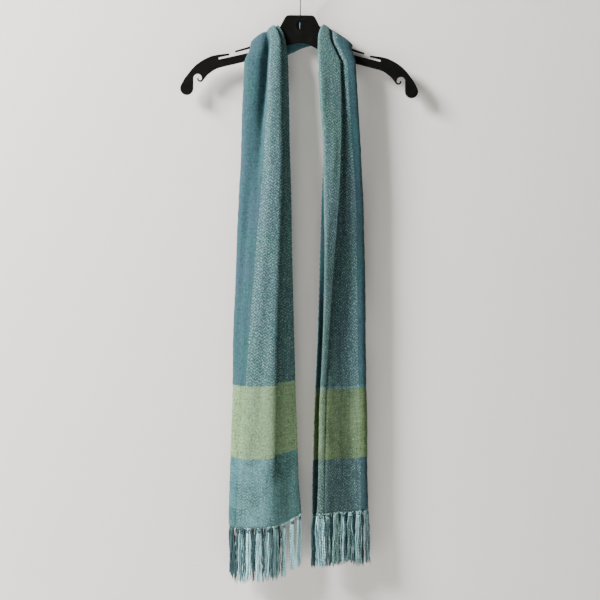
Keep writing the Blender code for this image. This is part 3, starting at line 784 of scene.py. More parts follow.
@dataclass(frozen=True)
class WovenFinish:
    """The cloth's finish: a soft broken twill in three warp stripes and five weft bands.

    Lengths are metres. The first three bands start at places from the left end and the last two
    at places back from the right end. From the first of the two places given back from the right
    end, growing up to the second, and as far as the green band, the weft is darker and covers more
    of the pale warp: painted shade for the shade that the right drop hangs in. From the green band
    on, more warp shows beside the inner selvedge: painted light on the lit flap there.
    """

    colors: YarnColors
    length: float
    surface: SoftSurface = SoftSurface(roughness=0.86, relief=0.0005)
    left_bands: tuple[float, ...] = (0.0, 0.114, 0.238)
    right_bands: Pair = (0.227, 0.102)
    weft_cover: tuple[float, ...] = (0.62, 0.80, 0.60, 0.92, 0.84)
    # Painted shade down the right drop: its span back from the right end, weft factor and cover.
    painted_shade_span: Pair = (0.66, 0.44)
    painted_shade_depth: float = 0.64
    painted_shade_cover: float = 0.16
    # Painted light on the flap: extra warp shown beside the inner selvedge, and its width.
    painted_light_cover: float = 0.48
    painted_light_width: float = 0.024
    dye_seed: float = 3.7

    def material(self, groups: dict[str, NodeTree]) -> Material:
        """Build the material from the shared groups.

        Args:
            groups: The shader groups by name.

        Returns:
            The material, which reads the UV map of thread places in metres.
        """
        made, graph, shader = new_material("woven_cloth")
        across, along, _ = graph.parts(graph.node("UVMap", uv_map="threads").outputs[0])
        place = {"Across": across, "Along": along}
        colors, length = self.colors, self.length
        starts = (*self.left_bands, *(length - back for back in self.right_bands))
        green_start = starts[-2]
        starts = tuple(start / length for start in starts)
        share = graph.math("DIVIDE", along, length)

        first = (colors.weft_end_left, colors.weft_green, colors.weft_teal)
        first += (colors.weft_olive, colors.weft_end_right)
        second = (colors.weft_teal, colors.weft_green, colors.weft_slate)
        second += (colors.weft_leaf, colors.weft_end_navy)
        dyes = {"First": graph.steps(share, starts, first), "Second": graph.steps(share, starts, second)}
        dye = graph.group(groups["dye_patches"], **place, **dyes, Seed=self.dye_seed)
        # Painted shade: the weft darkens and covers more down the right drop, above the green band.
        ramp = graph.spread(along, *(length - back for back in self.painted_shade_span))
        painted_shade_ramp = graph.times(ramp, graph.math("LESS_THAN", along, green_start))
        painted_shade_factor = graph.minus(1.0, graph.times(painted_shade_ramp, 1.0 - self.painted_shade_depth))

        cover = graph.steps(share, starts, tuple((part, part, part) for part in self.weft_cover))
        covered = graph.plus(cover, graph.times(painted_shade_ramp, self.painted_shade_cover))
        # Painted light: more warp shows beside the inner selvedge from the right green band on.
        edge = graph.spread(across, 0.0, self.painted_light_width, self.painted_light_cover, 0.0)
        painted_light = graph.times(edge, graph.math("GREATER_THAN", along, green_start))
        weave = graph.group(
            groups["thread_weave"],
            **place,
            Warp=graph.group(groups["warp_stripes"], **place).outputs["Color"],
            Weft=graph.scaled(dye.outputs["Color"], painted_shade_factor),
            Share=graph.minus(covered, painted_light),
        )
        self.surface.dress(graph, shader, weave.outputs["Color"], weave.outputs["Height"])
        return made


@dataclass(frozen=True)
class YarnFinish:
    """The fringe's finish: two plies twisted together, in the warp's own colours or bleached."""

    surface: SoftSurface = SoftSurface(roughness=0.8, relief=0.0004)
    plies_per_metre: float = 190.0
    # Painted shade in the grooves between the plies: the factors there and on the plies' tops.
    ply_painted_shade: Pair = (0.5, 1.1)
    ply_height: float = 0.5
    fuzz_scale: float = 2600.0
    bleached: Color = (0.42, 0.66, 0.68)
    cool: Color = (0.95, 1.06, 1.12)

    def material(self, groups: dict[str, NodeTree]) -> Material:
        """Build the material, which reads each yarn's turn, warp place, tint and paleness.

        The ply is the cosine of twice the angle round the yarn less the twist. It comes from the
        turn's cosine and sine by the rules for a double angle, so it has no seam. It darkens the
        colour into the grooves between the plies as painted shade, and gives their height.

        Args:
            groups: The shader groups by name.

        Returns:
            The material.
        """
        made, graph, shader = new_material("fringe_yarn")
        cosine, sine, run = graph.parts(graph.attribute("turn", "Vector"))
        twist = graph.times(run, self.plies_per_metre * 2.0 * math.pi)
        double_cosine = graph.minus(graph.times(cosine, cosine, 2.0), 1.0)
        double_sine = graph.times(cosine, sine, 2.0)
        ply = graph.plus(
            graph.times(double_cosine, graph.math("COSINE", twist)),
            graph.times(double_sine, graph.math("SINE", twist)),
        )
        warp = graph.group(groups["warp_stripes"], Across=graph.attribute("warp_place"), Along=run)
        dyed = graph.mix(graph.attribute("pale"), warp.outputs["Color"], self.bleached)
        # Painted shade in the grooves between the plies, times each yarn's tint.
        shade = graph.times(graph.spread(ply, -1.0, 0.4, *self.ply_painted_shade), graph.attribute("tint"))
        color = graph.scaled(graph.mix(1.0, dyed, self.cool, "MULTIPLY"), shade)
        fuzz = graph.noise(graph.node("TexCoord").outputs["Object"], self.fuzz_scale, 2.0, 0.6)
        height = graph.plus(graph.times(ply, self.ply_height), fuzz)
        self.surface.dress(graph, shader, color, height)
        return made


@dataclass(frozen=True)
class HardFinish:
    """A plain hard finish with fine grain and faint scuffs; scales are features a metre."""

    name: str
    color: Color
    scuff: Color
    roughness: float
    metallic: float
    grain: float
    gloss: float = 0.5
    scuff_scale: float = 38.0
    cloud_scale: float = 90.0
    uneven: float = 0.07
    bump: float = 0.25
    relief: float = 0.0001

    def material(self) -> Material:
        """Build the material on Object coordinates."""
        made, graph, shader = new_material(self.name)
        place = graph.node("TexCoord").outputs["Object"]
        wear = graph.spread(graph.noise(place, self.scuff_scale, 5.0, 0.65), 0.56, 0.78)
        cloud = graph.noise(place, self.cloud_scale, 4.0)
        rough, uneven = self.roughness, self.uneven
        values = {
            "Base Color": graph.mix(wear, self.color, self.scuff),
            "Roughness": graph.spread(cloud, 0.3, 0.7, rough - uneven, rough + uneven),
            "Metallic": self.metallic,
            "Specular IOR Level": self.gloss,
            "Normal": graph.relief(graph.noise(place, self.grain), self.bump, self.relief),
        }
        graph.fill(shader, values)
        return made


# The scarf


@dataclass
class Scarf:
    """One strip of cloth: hanging left, over the arm, behind the block, over the arm, hanging right.

    Lengths are millimetres. The powers shape how each drop's sag grows on the way down. The arms
    are where the layers press, as the place past the left drop and the half width of the stretch,
    and the squeeze is how much creasing they take away.
    """

    width: float = WIDTH
    stripe: float = 118.0
    top: float = 166.0
    left_length: float = 988.0
    neck_length: float = 265.0
    right_length: float = 977.0
    plate_clear: float = 4.2
    left_power: float = 2.6
    right_power: float = 1.5
    columns: int = 104
    row_step: float = 4.35
    neck_rows: int = 64
    thickness: float = 1.3
    arms: tuple[Pair, ...] = ((62.0, 34.0), (196.0, 36.0))
    squeeze: float = 0.88

    def left_section(self, drop: Array) -> Array:
        """Give the left drop's section points (x, out) at each height.

        From the inner selvedge the cloth runs left behind the pleat, back to the ridge, left again
        in front as the pale and then the dark stripe, and round the outer fold to the back layer.
        Near its end the pleat opens into one slope, mixed in by the open column. The bare numbers
        are millimetres: small offsets sideways, and each layer's distance out from the hanger.

        Args:
            drop: Heights below the hook.

        Returns:
            Section points, (rows, 18, 2).
        """
        row = read_table(LEFT_COLUMNS, LEFT_ROWS, drop)
        inner, ridge, stripe, outer = row["edge_in"], row["ridge"], row["stripe"], row["edge_out"]
        front = row["front"]
        valley = ridge - np.maximum(row["pleat"], 0.0)
        one = np.ones_like(drop)
        closed = [
            (inner, 1.6 * one),
            (0.5 * (inner + valley), 5.0 * one),
            (valley + 2.6, 5.6 * one),
            (valley, 8.0 * one),
            (valley + 2.6, 10.4 * one),
            (0.5 * (valley + ridge) + 1.3, 0.5 * (front + 4.6)),
            (ridge - 1.2, front - 6.0),
            (ridge + 1.6, front - 3.2),
            (ridge - 1.6, front - 0.8),
            (0.5 * (ridge + stripe), front + 0.4),
            (stripe, 0.80 * front + 1.6),
        ]
        span = stripe - inner
        amount = ease(row["open"])
        points = []
        for (x, out), share, depth in zip(closed, OPEN_SHARE, OPEN_DEPTH):
            points.append((x + amount * (inner + share * span - x), out + amount * (depth * front - out)))
        groove = np.maximum(row["groove"], 0.0)
        side = outer - stripe
        points += [
            (stripe + (0.20 - 0.012 * groove) * side, 0.62 * front + 2.6 - 1.15 * groove),
            (stripe + (0.50 - 0.018 * groove) * side, 0.34 * front + 7.0 + 0.24 * groove),
            (stripe + 0.86 * side, 11.2 * one),
            (outer, 5.6 * one),
            (outer + 5.0, 0.8 * one),
            (0.5 * (outer + row["back"]), 0.2 + 1.2 * np.sin(drop / 95.0)),
            (row["back"], 1.4 * one),
        ]
        return section(points)

    def right_section(self, drop: Array) -> Array:
        """Give the right drop's section points (x, out) at each height.

        From its selvedge the flap runs back to the inner fold, the cloth goes behind it to the
        recess, forward to the ridge, and round the outer fold to the back layer, whose selvedge
        curls forward lower down. The bare numbers are millimetres, as in left_section.

        Args:
            drop: Heights below the hook.

        Returns:
            Section points, (rows, 18, 2).
        """
        row = read_table(RIGHT_COLUMNS, RIGHT_ROWS, drop)
        fold, sel, recess, ridge = row["fold"], row["sel"], row["recess"], row["ridge"]
        stripe, outer, turn = row["stripe"], row["edge_out"], row["turn"]
        behind, level = row["behind"], row["level"]
        middle = 0.5 * (outer + row["back"])
        curl = ease((drop - CURL_START) / CURL_REACH)
        inside = 5.2 + 0.34 * behind + 2.0 * curl
        side = outer - stripe
        points = [
            (sel, row["sel_out"]),
            (0.52 * sel + 0.48 * fold, 0.62 * row["sel_out"] + 0.38 * turn + 1.0),
            (fold + 2.2, turn),
            (fold, 0.5 * (turn + inside)),
            (fold + 3.0, inside),
            (fold + (0.38 - 0.04 * curl) * (recess - fold), behind),
            (0.22 * fold + 0.78 * recess, 2.6 + 0.36 * behind + 1.9 * curl),
            (recess, 2.2 + 0.2 * behind + 1.6 * curl),
            (recess + (0.30 + 0.28 * curl) * (ridge - recess), level - 2.0 + 1.4 * curl),
            (ridge, level),
            (stripe, level + 1.2 * curl),
            (stripe + 0.35 * side, level - 0.4 + 2.3 * curl),
            (stripe + 0.66 * side, level - 0.9 + 3.1 * curl),
            (stripe + 0.90 * side, level - 2.0 + 2.8 * curl),
            (outer, 0.5 * level - 0.2 + 1.0 * curl),
            (outer - 5.0, np.full_like(drop, 0.8)),
            (middle + curl * (fold + 4.0 - middle), 0.6 + 0.4 * np.cos(drop / 90.0)),
            (row["back"], 1.2 + 11.5 * curl),
        ]
        return section(points)

    def drop_points(self, end: End, drop: Array) -> Array:
        """Place a drop's section points in the frame, with the uneven sag of its lower end.

        A point's height is its row's drop plus its own sag times a power of the share of the drop
        that lies above it.

        Args:
            end: Which drop.
            drop: Heights below the hook.

        Returns:
            Points, (rows, 18, 3).
        """
        left = end is End.LEFT
        flat = self.left_section(drop) if left else self.right_section(drop)
        length = self.left_length if left else self.right_length
        sag = np.array(LEFT_SAG if left else RIGHT_SAG, dtype=float)
        power = self.left_power if left else self.right_power
        share = np.clip((drop - self.top) / (length - self.top), 0.0, 1.0) ** power
        height = -(drop[:, None] + share[:, None] * sag[None, :])
        return np.stack([flat[..., 0], -(self.plate_clear + flat[..., 1]), height], axis=2)

    def neck_points(self, path: Array) -> Array:
        """Place the neck's section points along its path from 0 to 1.

        A point lies across and out from the inner edge. Across is level turned by the lean; out is
        forward, up or back as the cosine and sine of the angle gone over the hanger.

        Args:
            path: Shares of the path.

        Returns:
            Points, (rows, 18, 3).
        """
        keys = np.array(NECK_KEYS, dtype=float)
        table = np.column_stack([np.linspace(0.0, 1.0, len(keys)), keys])
        row = read_table(("s",) + NECK_COLUMNS, table, path)
        top = np.array([self.top])
        left = self.left_section(top)[0] * (-1, 1) + (NECK_KEYS[0][0], 0)
        right = self.right_section(top)[0] - (NECK_KEYS[-1][0], 0)
        between = (LEFT_SADDLE, GATHERED, OPENED, CURLED, RIGHT_SADDLE)
        shapes = np.stack([left, *(np.array(shape) for shape in between), right])
        stage = np.interp(path, NECK_STAGES, range(len(NECK_STAGES)))
        place = np.minimum(stage.astype(int), len(NECK_STAGES) - 2)
        mix = (stage - place)[:, None, None]
        flat = (1 - mix) * shapes[place] + mix * shapes[place + 1]
        lean, over = np.radians(row["lean"]), np.radians(row["over"])
        zero = np.zeros_like(lean)
        across = np.stack([-np.cos(lean), zero, -np.sin(lean)], axis=1)
        upward = np.stack([-np.sin(lean), zero, np.cos(lean)], axis=1)
        front = np.array([0.0, -1.0, 0.0])
        out = np.cos(over)[:, None] * front + np.sin(over)[:, None] * upward
        origin = np.stack([row["x"], zero, row["z"]], axis=1)
        wide = flat[..., 0] * row["width"][:, None]
        deep = row["clear"][:, None] + flat[..., 1] * row["depth"][:, None]
        return origin[:, None] + wide[..., None] * across[:, None] + deep[..., None] * out[:, None]

    def even_columns(self, points: Array) -> Array:
        """Lay columns at even thread places between the selvedges.

        The running length from the selvedge to the dark stripe, and on to the other selvedge, is
        stretched to the stripe's own place in each row.

        Args:
            points: Section points, (rows, 18, 3).

        Returns:
            The grid, (rows, columns, 3).
        """
        line = curve_through(points, PER_SPAN)
        length = run_length(line)
        middle = length[:, PER_SPAN * STRIPE_POINT]
        places = np.linspace(0.0, self.width, self.columns)
        rows = []
        for row, run, half in zip(line, length, middle):
            wanted = np.interp(places, (0.0, self.stripe, self.width), (0.0, half, run[-1]))
            rows.append(np.stack([np.interp(wanted, run, row[:, axis]) for axis in range(3)], axis=1))
        return np.array(rows)

    def rest_grid(self) -> tuple[Array, Array]:
        """Give the whole strip's grid before creases, and each row's place along it."""
        count = int((self.left_length - self.top) / self.row_step)
        left_drop = np.linspace(self.left_length, self.top, count)
        count = int((self.right_length - self.top) / self.row_step)
        right_drop = np.linspace(self.top, self.right_length, count)
        path = np.linspace(0.0, 1.0, self.neck_rows + 2)[1:-1]
        left = self.drop_points(End.LEFT, left_drop)
        neck = self.neck_points(path)
        right = self.drop_points(End.RIGHT, right_drop)
        grid = self.even_columns(np.concatenate([left, neck, right]))
        along_left = self.left_length - left_drop
        along_neck = along_left[-1] + path * self.neck_length
        along_right = along_left[-1] + self.neck_length + right_drop - self.top
        return grid, np.concatenate([along_left, along_neck, along_right])

    def room(self, along: Array) -> Array:
        """Say how much creasing there is room for: little where the layers press over the arms."""
        past = along - (self.left_length - self.top)
        pressed = sum(bell((past - place) / half) for place, half in self.arms)
        return 1.0 - self.squeeze * np.clip(pressed, 0.0, 1.0)

    def crease(self, grid: Array, along: Array) -> Array:
        """Push the grid in and out along its normals by the creases and by slow and fine waves.

        A crease is a bell across, faded in and out over three tenths of its length. A wave is a
        rise times a sine of the place along and across, each divided by its wave length, and a
        second sine bends it or makes it come and go. The selvedges wave sideways.

        Args:
            grid: The grid before creases.
            along: Each row's place along the strip.

        Returns:
            The creased grid.
        """
        across = np.linspace(0.0, self.width, self.columns)[None, :]
        run = along[:, None]
        push = np.zeros((len(along), self.columns))
        for warp, start, stop, rise, half, drift in CREASES:
            share = (run - start) / (stop - start)
            fade = ease(share / 0.3) * ease((1.0 - share) / 0.3)
            push += rise * fade * bell((across - warp - drift * (share - 0.5)) / half)
        turn = 2.0 * np.pi
        push += 0.45 * np.sin(turn * (run / 210.0 + across / 130.0)) * np.sin(turn * across / 74.0 + 0.8)
        beat = np.sin(turn * (run / 83.0 + across / 37.0))
        push += 0.22 * np.sin(turn * (run / 47.0 - across / 61.0)) * beat
        push += 0.12 * np.sin(turn * (run / 19.0 + across / 26.0) + 1.3 * np.sin(turn * run / 71.0))
        push += 0.10 * np.sin(turn * (run / 23.0 - across / 17.0) + 1.7 * np.sin(turn * across / 53.0))
        push *= self.room(along)[:, None]
        down = np.gradient(grid, axis=0)
        side = np.gradient(grid, axis=1)
        normal = unit(np.cross(side, down))
        edge = bell(across / 5.0) - bell((across - self.width) / 5.0)
        wave = 0.35 * np.sin(turn * run / 9.3 + 2.0 * np.sin(turn * run / 61.0))
        return grid + push[..., None] * normal + (wave * edge)[..., None] * unit(side)

    def build(self, material: Material) -> tuple[Object, Array]:
        """Make the cloth.

        Args:
            material: The woven material.

        Returns:
            The cloth object and its grid of points in millimetres.
        """
        grid, along = self.rest_grid()
        grid = self.crease(grid, along)
        rows, columns = grid.shape[:2]
        index = np.arange(rows * columns).reshape(rows, columns)
        corners = (index[:-1, :-1], index[:-1, 1:], index[1:, 1:], index[1:, :-1])
        faces = np.stack(corners, axis=2).reshape(-1, 4).tolist()
        across = np.broadcast_to(np.linspace(0.0, self.width, columns), (rows, columns))
        threads = np.stack([across, np.broadcast_to(along[:, None], (rows, columns))], axis=2) * MM
        surface = Surface(grid.reshape(-1, 3), faces, {"threads": threads.reshape(-1, 2)})
        cloth = surface.to_object("scarf_cloth", material)
        wall = cloth.modifiers.new("Wall", "SOLIDIFY")
        wall.thickness = self.thickness * MM
        wall.offset = 0.0
        wall.use_even_offset = False
        log.info("scarf_cloth: %d rows of %d columns, %.0f mm long", rows, columns, along[-1])
        return cloth, grid

    @property
    def length(self) -> float:
        """The strip's length between its fringes, in metres."""
        return (self.left_length + self.right_length - 2.0 * self.top + self.neck_length) * MM


@dataclass
class Fringe:
    """A row of tied bundles of warp ends under one end of the scarf.

    Lengths are millimetres. Places and reaches across are shares of the edge from its inner end,
    apart from the edge_reach, in metres, over which yarns by the inner selvedge are made paler
    as painted light. Tints and shades are factors, and shades has one for each bundle.
    """

    end: End
    line: Array
    seed: int
    width: float = WIDTH
    bundles: int = 15
    yarns: int = 26
    steps: int = 24
    length: float = 98.0
    margin: float = 5.0
    knot_drop: float = 6.0
    knot_pull: float = 0.72
    bundle_half: Pair = (5.2, 7.6)
    bundle_depth: float = 3.0
    yarn_radius: float = 0.68
    yarn_sides: int = 5
    coils: int = 3
    coil_steps: int = 16
    coil_sides: int = 6
    coil_radius: float = 2.5
    coil_yarn: float = 0.95
    coil_pitch: float = 1.7
    tint: float = 0.66
    # The knots' tint, kept darker than the yarns': painted shade under the cloth's edge.
    knot_tint: Pair = (0.5, 1.0)
    pale_knots: float = 0.0
    pale: float = 0.42
    # Painted light: extra paleness of the yarns by the inner selvedge.
    painted_edge_light: float = 0.50
    edge_reach: float = 0.05
    dark_share: float = 0.07
    # Share of knots given the dark stripe's colour: painted shade under the cloth's edge.
    painted_shade_knots: float = 0.8
    stray_tint: float = 0.75
    stray_gap: float = 0.075
    open_share: float = 0.27
    open_draw: float = 0.34
    open_reach: float = 0.12
    fold_share: float = 0.61
    fold_draw: float = 0.22
    fold_reach: float = 0.07
    shades: tuple[float, ...] = (
        0.9, 0.9, 0.95, 0.9, 0.85, 1.15, 1.2, 1.1, 0.42, 0.5, 0.8, 0.8, 0.9, 0.9, 0.9,
    )

    @property
    def total(self) -> float:
        """The running length of the cloth's edge."""
        return run_length(self.line[None])[0, -1]

    def stray(self, place: Array) -> Array:
        """Mark every fourth yarn, dark between the bundles, but not by the open edge or the fold."""
        every_fourth = np.arange(place.size).reshape(place.shape) % 4 == 2
        away = np.abs(place - self.fold_share) > self.stray_gap
        return every_fourth & away & (place > self.open_share)

    def each_bundle(self, rng: np.random.Generator, low: float, high: float) -> Array:
        """Draw one value for each bundle and give it to all its yarns."""
        return np.repeat(rng.uniform(low, high, self.bundles), self.yarns)

    def edge_point(self, places: Array) -> Array:
        """Give points of the cloth's edge at running lengths along it, held at its ends."""
        run = run_length(self.line[None])[0]
        return np.stack([np.interp(places, run, axis) for axis in self.line.T], axis=-1)

    def frame_at(self, places: Array) -> tuple[Array, Array, Array]:
        """Find the edge's points and directions.

        Args:
            places: Running lengths along the edge.

        Returns:
            The points, the level direction along the edge and the level direction out of it.
        """
        places = np.clip(places, 0.0, self.total)
        ahead = self.edge_point(places + 2.0) - self.edge_point(places - 2.0)
        ahead[..., 2] = 0.0
        ahead = unit(ahead)
        outward = np.stack([ahead[..., 1], -ahead[..., 0], np.zeros_like(ahead[..., 0])], axis=-1)
        return self.edge_point(places), ahead, outward

    def yarn_paths(self, rng: np.random.Generator) -> tuple[Array, Array, Array]:
        """Lay every yarn from the cloth's edge, through its bundle's knot and down.

        A yarn starts at its own place on the edge and hangs at its own place in an oval about the
        bundle's middle, which is drawn in at the knot, and more beside the open edge and the fold.
        Below the knot come a slow sway for the bundle and a crimp of its own: sines of the height
        with random phases. Strays hang between the bundles.

        Args:
            rng: The source of every random draw.

        Returns:
            The paths, each yarn's place across the cloth as a share of its width, and the bundles'
            knot centres.
        """
        pitch = (self.total - 2.0 * self.margin) / (self.bundles - 1)
        middle = self.margin + np.arange(self.bundles) * pitch
        middle[1:-1] += rng.uniform(-2.0, 2.0, self.bundles - 2)
        offset = np.linspace(-0.46, 0.46, self.yarns)[None, :] * pitch
        start = self.edge_point(middle[:, None] + offset)
        centre, ahead, outward = self.frame_at(middle)
        place = np.clip((middle[:, None] + offset) / self.total, 0.0, 0.9995)

        reach = self.length + rng.uniform(-4.0, 3.0, (self.bundles, 1))
        reach = reach + rng.uniform(-7.0, 1.0, (self.bundles, self.yarns))
        angle = rng.uniform(0.0, 2.0 * np.pi, (self.bundles, self.yarns))
        radius = np.sqrt((np.arange(self.yarns) + 0.5) / self.yarns)[None, :]
        wide = rng.uniform(*self.bundle_half, (self.bundles, 1)) * radius * np.cos(angle)
        deep = self.bundle_depth * radius * np.sin(angle)
        beside = 0.5 * pitch * np.sign(wide) + rng.uniform(-2.4, 2.4, wide.shape)
        wide = wide * (1.0 - self.open_draw * ease((self.open_share - place) / self.open_reach))
        wide = wide * (1.0 - self.fold_draw * bell((place - self.fold_share) / self.fold_reach))
        stray = self.stray(place)
        wide = np.where(stray, beside, wide)
        deep = np.where(stray, -2.2, deep)

        fall = reach[..., None] * np.linspace(0.0, 1.0, self.steps) ** 1.15
        past = fall - self.knot_drop
        spread = self.knot_pull + (1.0 - self.knot_pull) * ease((past - 2.0) / 16.0)
        spread = spread * (1.0 + 0.12 * ease((fall - 50.0) / 50.0))
        phase = rng.uniform(0.0, 2.0 * np.pi, (3, self.bundles, self.yarns, 1))
        below = ease((past - 3.0) / 20.0)
        crimp = below * (0.35 * np.sin(fall / 3.1 + phase[0]) + 0.80 * np.sin(fall / 11.0 + phase[1]))
        crimp_deep = below * 0.4 * np.sin(fall / 5.3 + phase[2])
        sway = rng.uniform(-1.0, 1.0, (2, self.bundles, 1, 1))
        swing = below * (1.1 * sway[0] * fall / 60.0 + 0.7 * np.sin(fall / 24.0 + 3.0 * sway[1]))
        lateral = spread * wide[..., None] + crimp + swing
        depth = spread * deep[..., None] + crimp_deep + 0.8 * below * sway[1]

        home = centre[:, None, None] + lateral[..., None] * ahead[:, None, None]
        home = home + depth[..., None] * outward[:, None, None]
        mix = ease(fall / self.knot_drop)[..., None]
        paths = (1.0 - mix) * start[:, :, None] + mix * home
        top = (1.0 - mix[..., 0]) * start[:, :, None, 2] + mix[..., 0] * centre[:, None, None, 2]
        paths[..., 2] = top + 1.2 - fall
        knots = centre - (0.0, 0.0, self.knot_drop)
        return paths.reshape(-1, self.steps, 3), place.ravel(), knots

    def knot_paths(self, knots: Array, rng: np.random.Generator) -> Array:
        """Wind coils of yarn about each knot's middle, tilted and uneven.

        Each is a circle of 1.15 turns, flattened in depth, that climbs as it goes round.

        Args:
            knots: The knots' middles.
            rng: The source of every random draw.

        Returns:
            The coils' paths.
        """
        _, ahead, outward = self.frame_at(np.linspace(self.margin, self.total - self.margin, self.bundles))
        t = np.linspace(0.0, 1.0, self.coil_steps)
        each = (self.bundles, self.coils, 1)
        angle = rng.uniform(0.0, 2.0 * np.pi, each) + 2.0 * np.pi * 1.15 * t
        tilt = rng.uniform(-0.35, 0.35, each)
        radius = self.coil_radius + 0.35 * rng.uniform(-1.0, 1.0, each)
        side, deep = radius * 1.1 * np.cos(angle), radius * 0.85 * np.sin(angle)
        level = np.arange(self.coils)[None, :, None] - 0.5 * (self.coils - 1)
        climb = level * self.coil_pitch + 1.2 * (t - 0.5) + tilt * side
        paths = knots[:, None, None] + side[..., None] * ahead[:, None, None]
        paths = paths + deep[..., None] * outward[:, None, None]
        paths[..., 2] += climb
        return paths.reshape(-1, self.coil_steps, 3)

    def build(self, material: Material) -> Object:
        """Make the fringe as one piece: every yarn and every knot.

        A yarn's colour is the warp's at its own place, or the dark stripe's. Its tint is its shade
        of that colour, and pale says how bleached it is, both with its bundle's own shade. By the
        inner selvedge the yarns are made paler still, as painted light.

        Args:
            material: The yarn material.

        Returns:
            The fringe object.
        """
        rng = np.random.default_rng(self.seed)
        paths, place, knots = self.yarn_paths(rng)
        warp = place * self.width * MM
        warp[rng.random(len(paths)) < self.dark_share * (1.0 - bell(warp / self.edge_reach))] = DARK_WARP
        tint = self.tint + 1.5 * rng.random(len(paths)) ** 1.2
        shades = np.repeat(self.shades, self.yarns) * self.each_bundle(rng, 0.9, 1.1)
        tint *= shades
        stray = self.stray(place)
        tint[stray] = self.stray_tint
        warp[stray] = DARK_WARP
        coils = self.knot_paths(knots, rng)
        coil_warp = np.repeat(warp.reshape(self.bundles, self.yarns)[:, self.yarns // 2], self.coils)
        # Painted shade: most knots take the dark stripe's colour, for the shade under the edge.
        coil_warp[rng.random(len(coils)) < self.painted_shade_knots] = DARK_WARP
        coil_tint = rng.uniform(*self.knot_tint, len(coils))
        # Painted light: yarns by the inner selvedge are paler, as if lit.
        pale = self.pale + self.painted_edge_light * bell(warp / self.edge_reach)
        pale *= shades * self.each_bundle(rng, 0.8, 1.1)
        pale = np.where(warp < PALE_WARP, np.clip(pale, 0.0, 1.0), 0.06)
        coil_pale = np.where(rng.random(len(coils)) < self.pale_knots, 0.75, 0.05)

        radius = np.full(paths.shape[:2], self.yarn_radius)
        radius[:, -1] *= 0.35
        radius[:, -2] *= 0.8
        points, faces, turn = sweep(paths, radius, self.yarn_sides, (0.0, 1.0, 0.0))
        thick = np.full(coils.shape[:2], self.coil_yarn)
        more, extra, coil_turn = sweep(coils, thick, self.coil_sides, (0.0, 0.0, 1.0))
        faces += [[corner + len(points) for corner in face] for face in extra]
        rings = (self.steps * self.yarn_sides, self.coil_steps * self.coil_sides)
        counts = np.repeat(rings, (len(paths), len(coils)))
        values = {"turn": np.concatenate([turn, coil_turn])}
        looks = {"warp_place": (warp, coil_warp), "tint": (tint, coil_tint), "pale": (pale, coil_pale)}
        for name, pair in looks.items():
            values[name] = np.repeat(np.concatenate(pair), counts)
        surface = Surface(np.concatenate([points, more]), faces, values)
        fringe = surface.to_object(f"fringe_{self.end.value}_yarns", material)
        log.info("%s: %d yarns in %d knots", fringe.name, len(paths), self.bundles)
        return fringe


# The hanger


@dataclass
class WireHook:
    """The hook's round wire: a stem, a bend and an open loop over the rail.

    Lengths are millimetres and turns degrees. The neck is the radius of the bend, and the tilt
    turns the whole hook about the rail.
    """

    radius: float = 1.1
    inner: float = 19.5
    neck: float = 12.0
    stem_end: float = 111.0
    tip: float = 200.0
    tilt: float = 0.84
    sides: int = 14

    def route(self) -> Array:
        """Give the wire's middle line: a straight stem and two arcs that meet in one tangent."""
        ring = self.inner + self.radius
        fall = math.sqrt(ring**2 + 2.0 * ring * self.neck)
        low = -self.inner - fall
        meet = math.degrees(math.atan2(-fall, self.neck))
        bend = np.radians(np.linspace(180.0, meet + 180.0, 14))
        loop = np.radians(np.linspace(meet, self.tip, 72))[1:]
        stem = np.column_stack([np.zeros(12), np.linspace(-self.stem_end, low - 1.5, 12)])
        first = np.column_stack([self.neck + self.neck * np.cos(bend), low + self.neck * np.sin(bend)])
        second = np.column_stack([ring * np.cos(loop), -self.inner + ring * np.sin(loop)])
        flat = np.concatenate([stem, first, second])
        angle = math.radians(self.tilt)
        x = flat[:, 0] * math.cos(angle) + flat[:, 1] * math.sin(angle)
        z = flat[:, 1] * math.cos(angle) - flat[:, 0] * math.sin(angle)
        return np.stack([x, np.zeros(len(flat)), z], axis=1)

    def build(self, material: Material) -> Object:
        """Make the wire with a rounded tip.

        Args:
            material: The wire's material.

        Returns:
            The wire object.
        """
        path = self.route()[None]
        radius = np.full(path.shape[:2], self.radius)
        radius[0, -1] *= 0.45
        radius[0, -2] *= 0.85
        points, faces, _ = sweep(path, radius, self.sides, (0.0, 1.0, 0.0))
        wire = Surface(points, faces, {}).to_object("hook_wire_round", material)
        log.info("%s: %d points", wire.name, len(points))
        return wire


# The studio


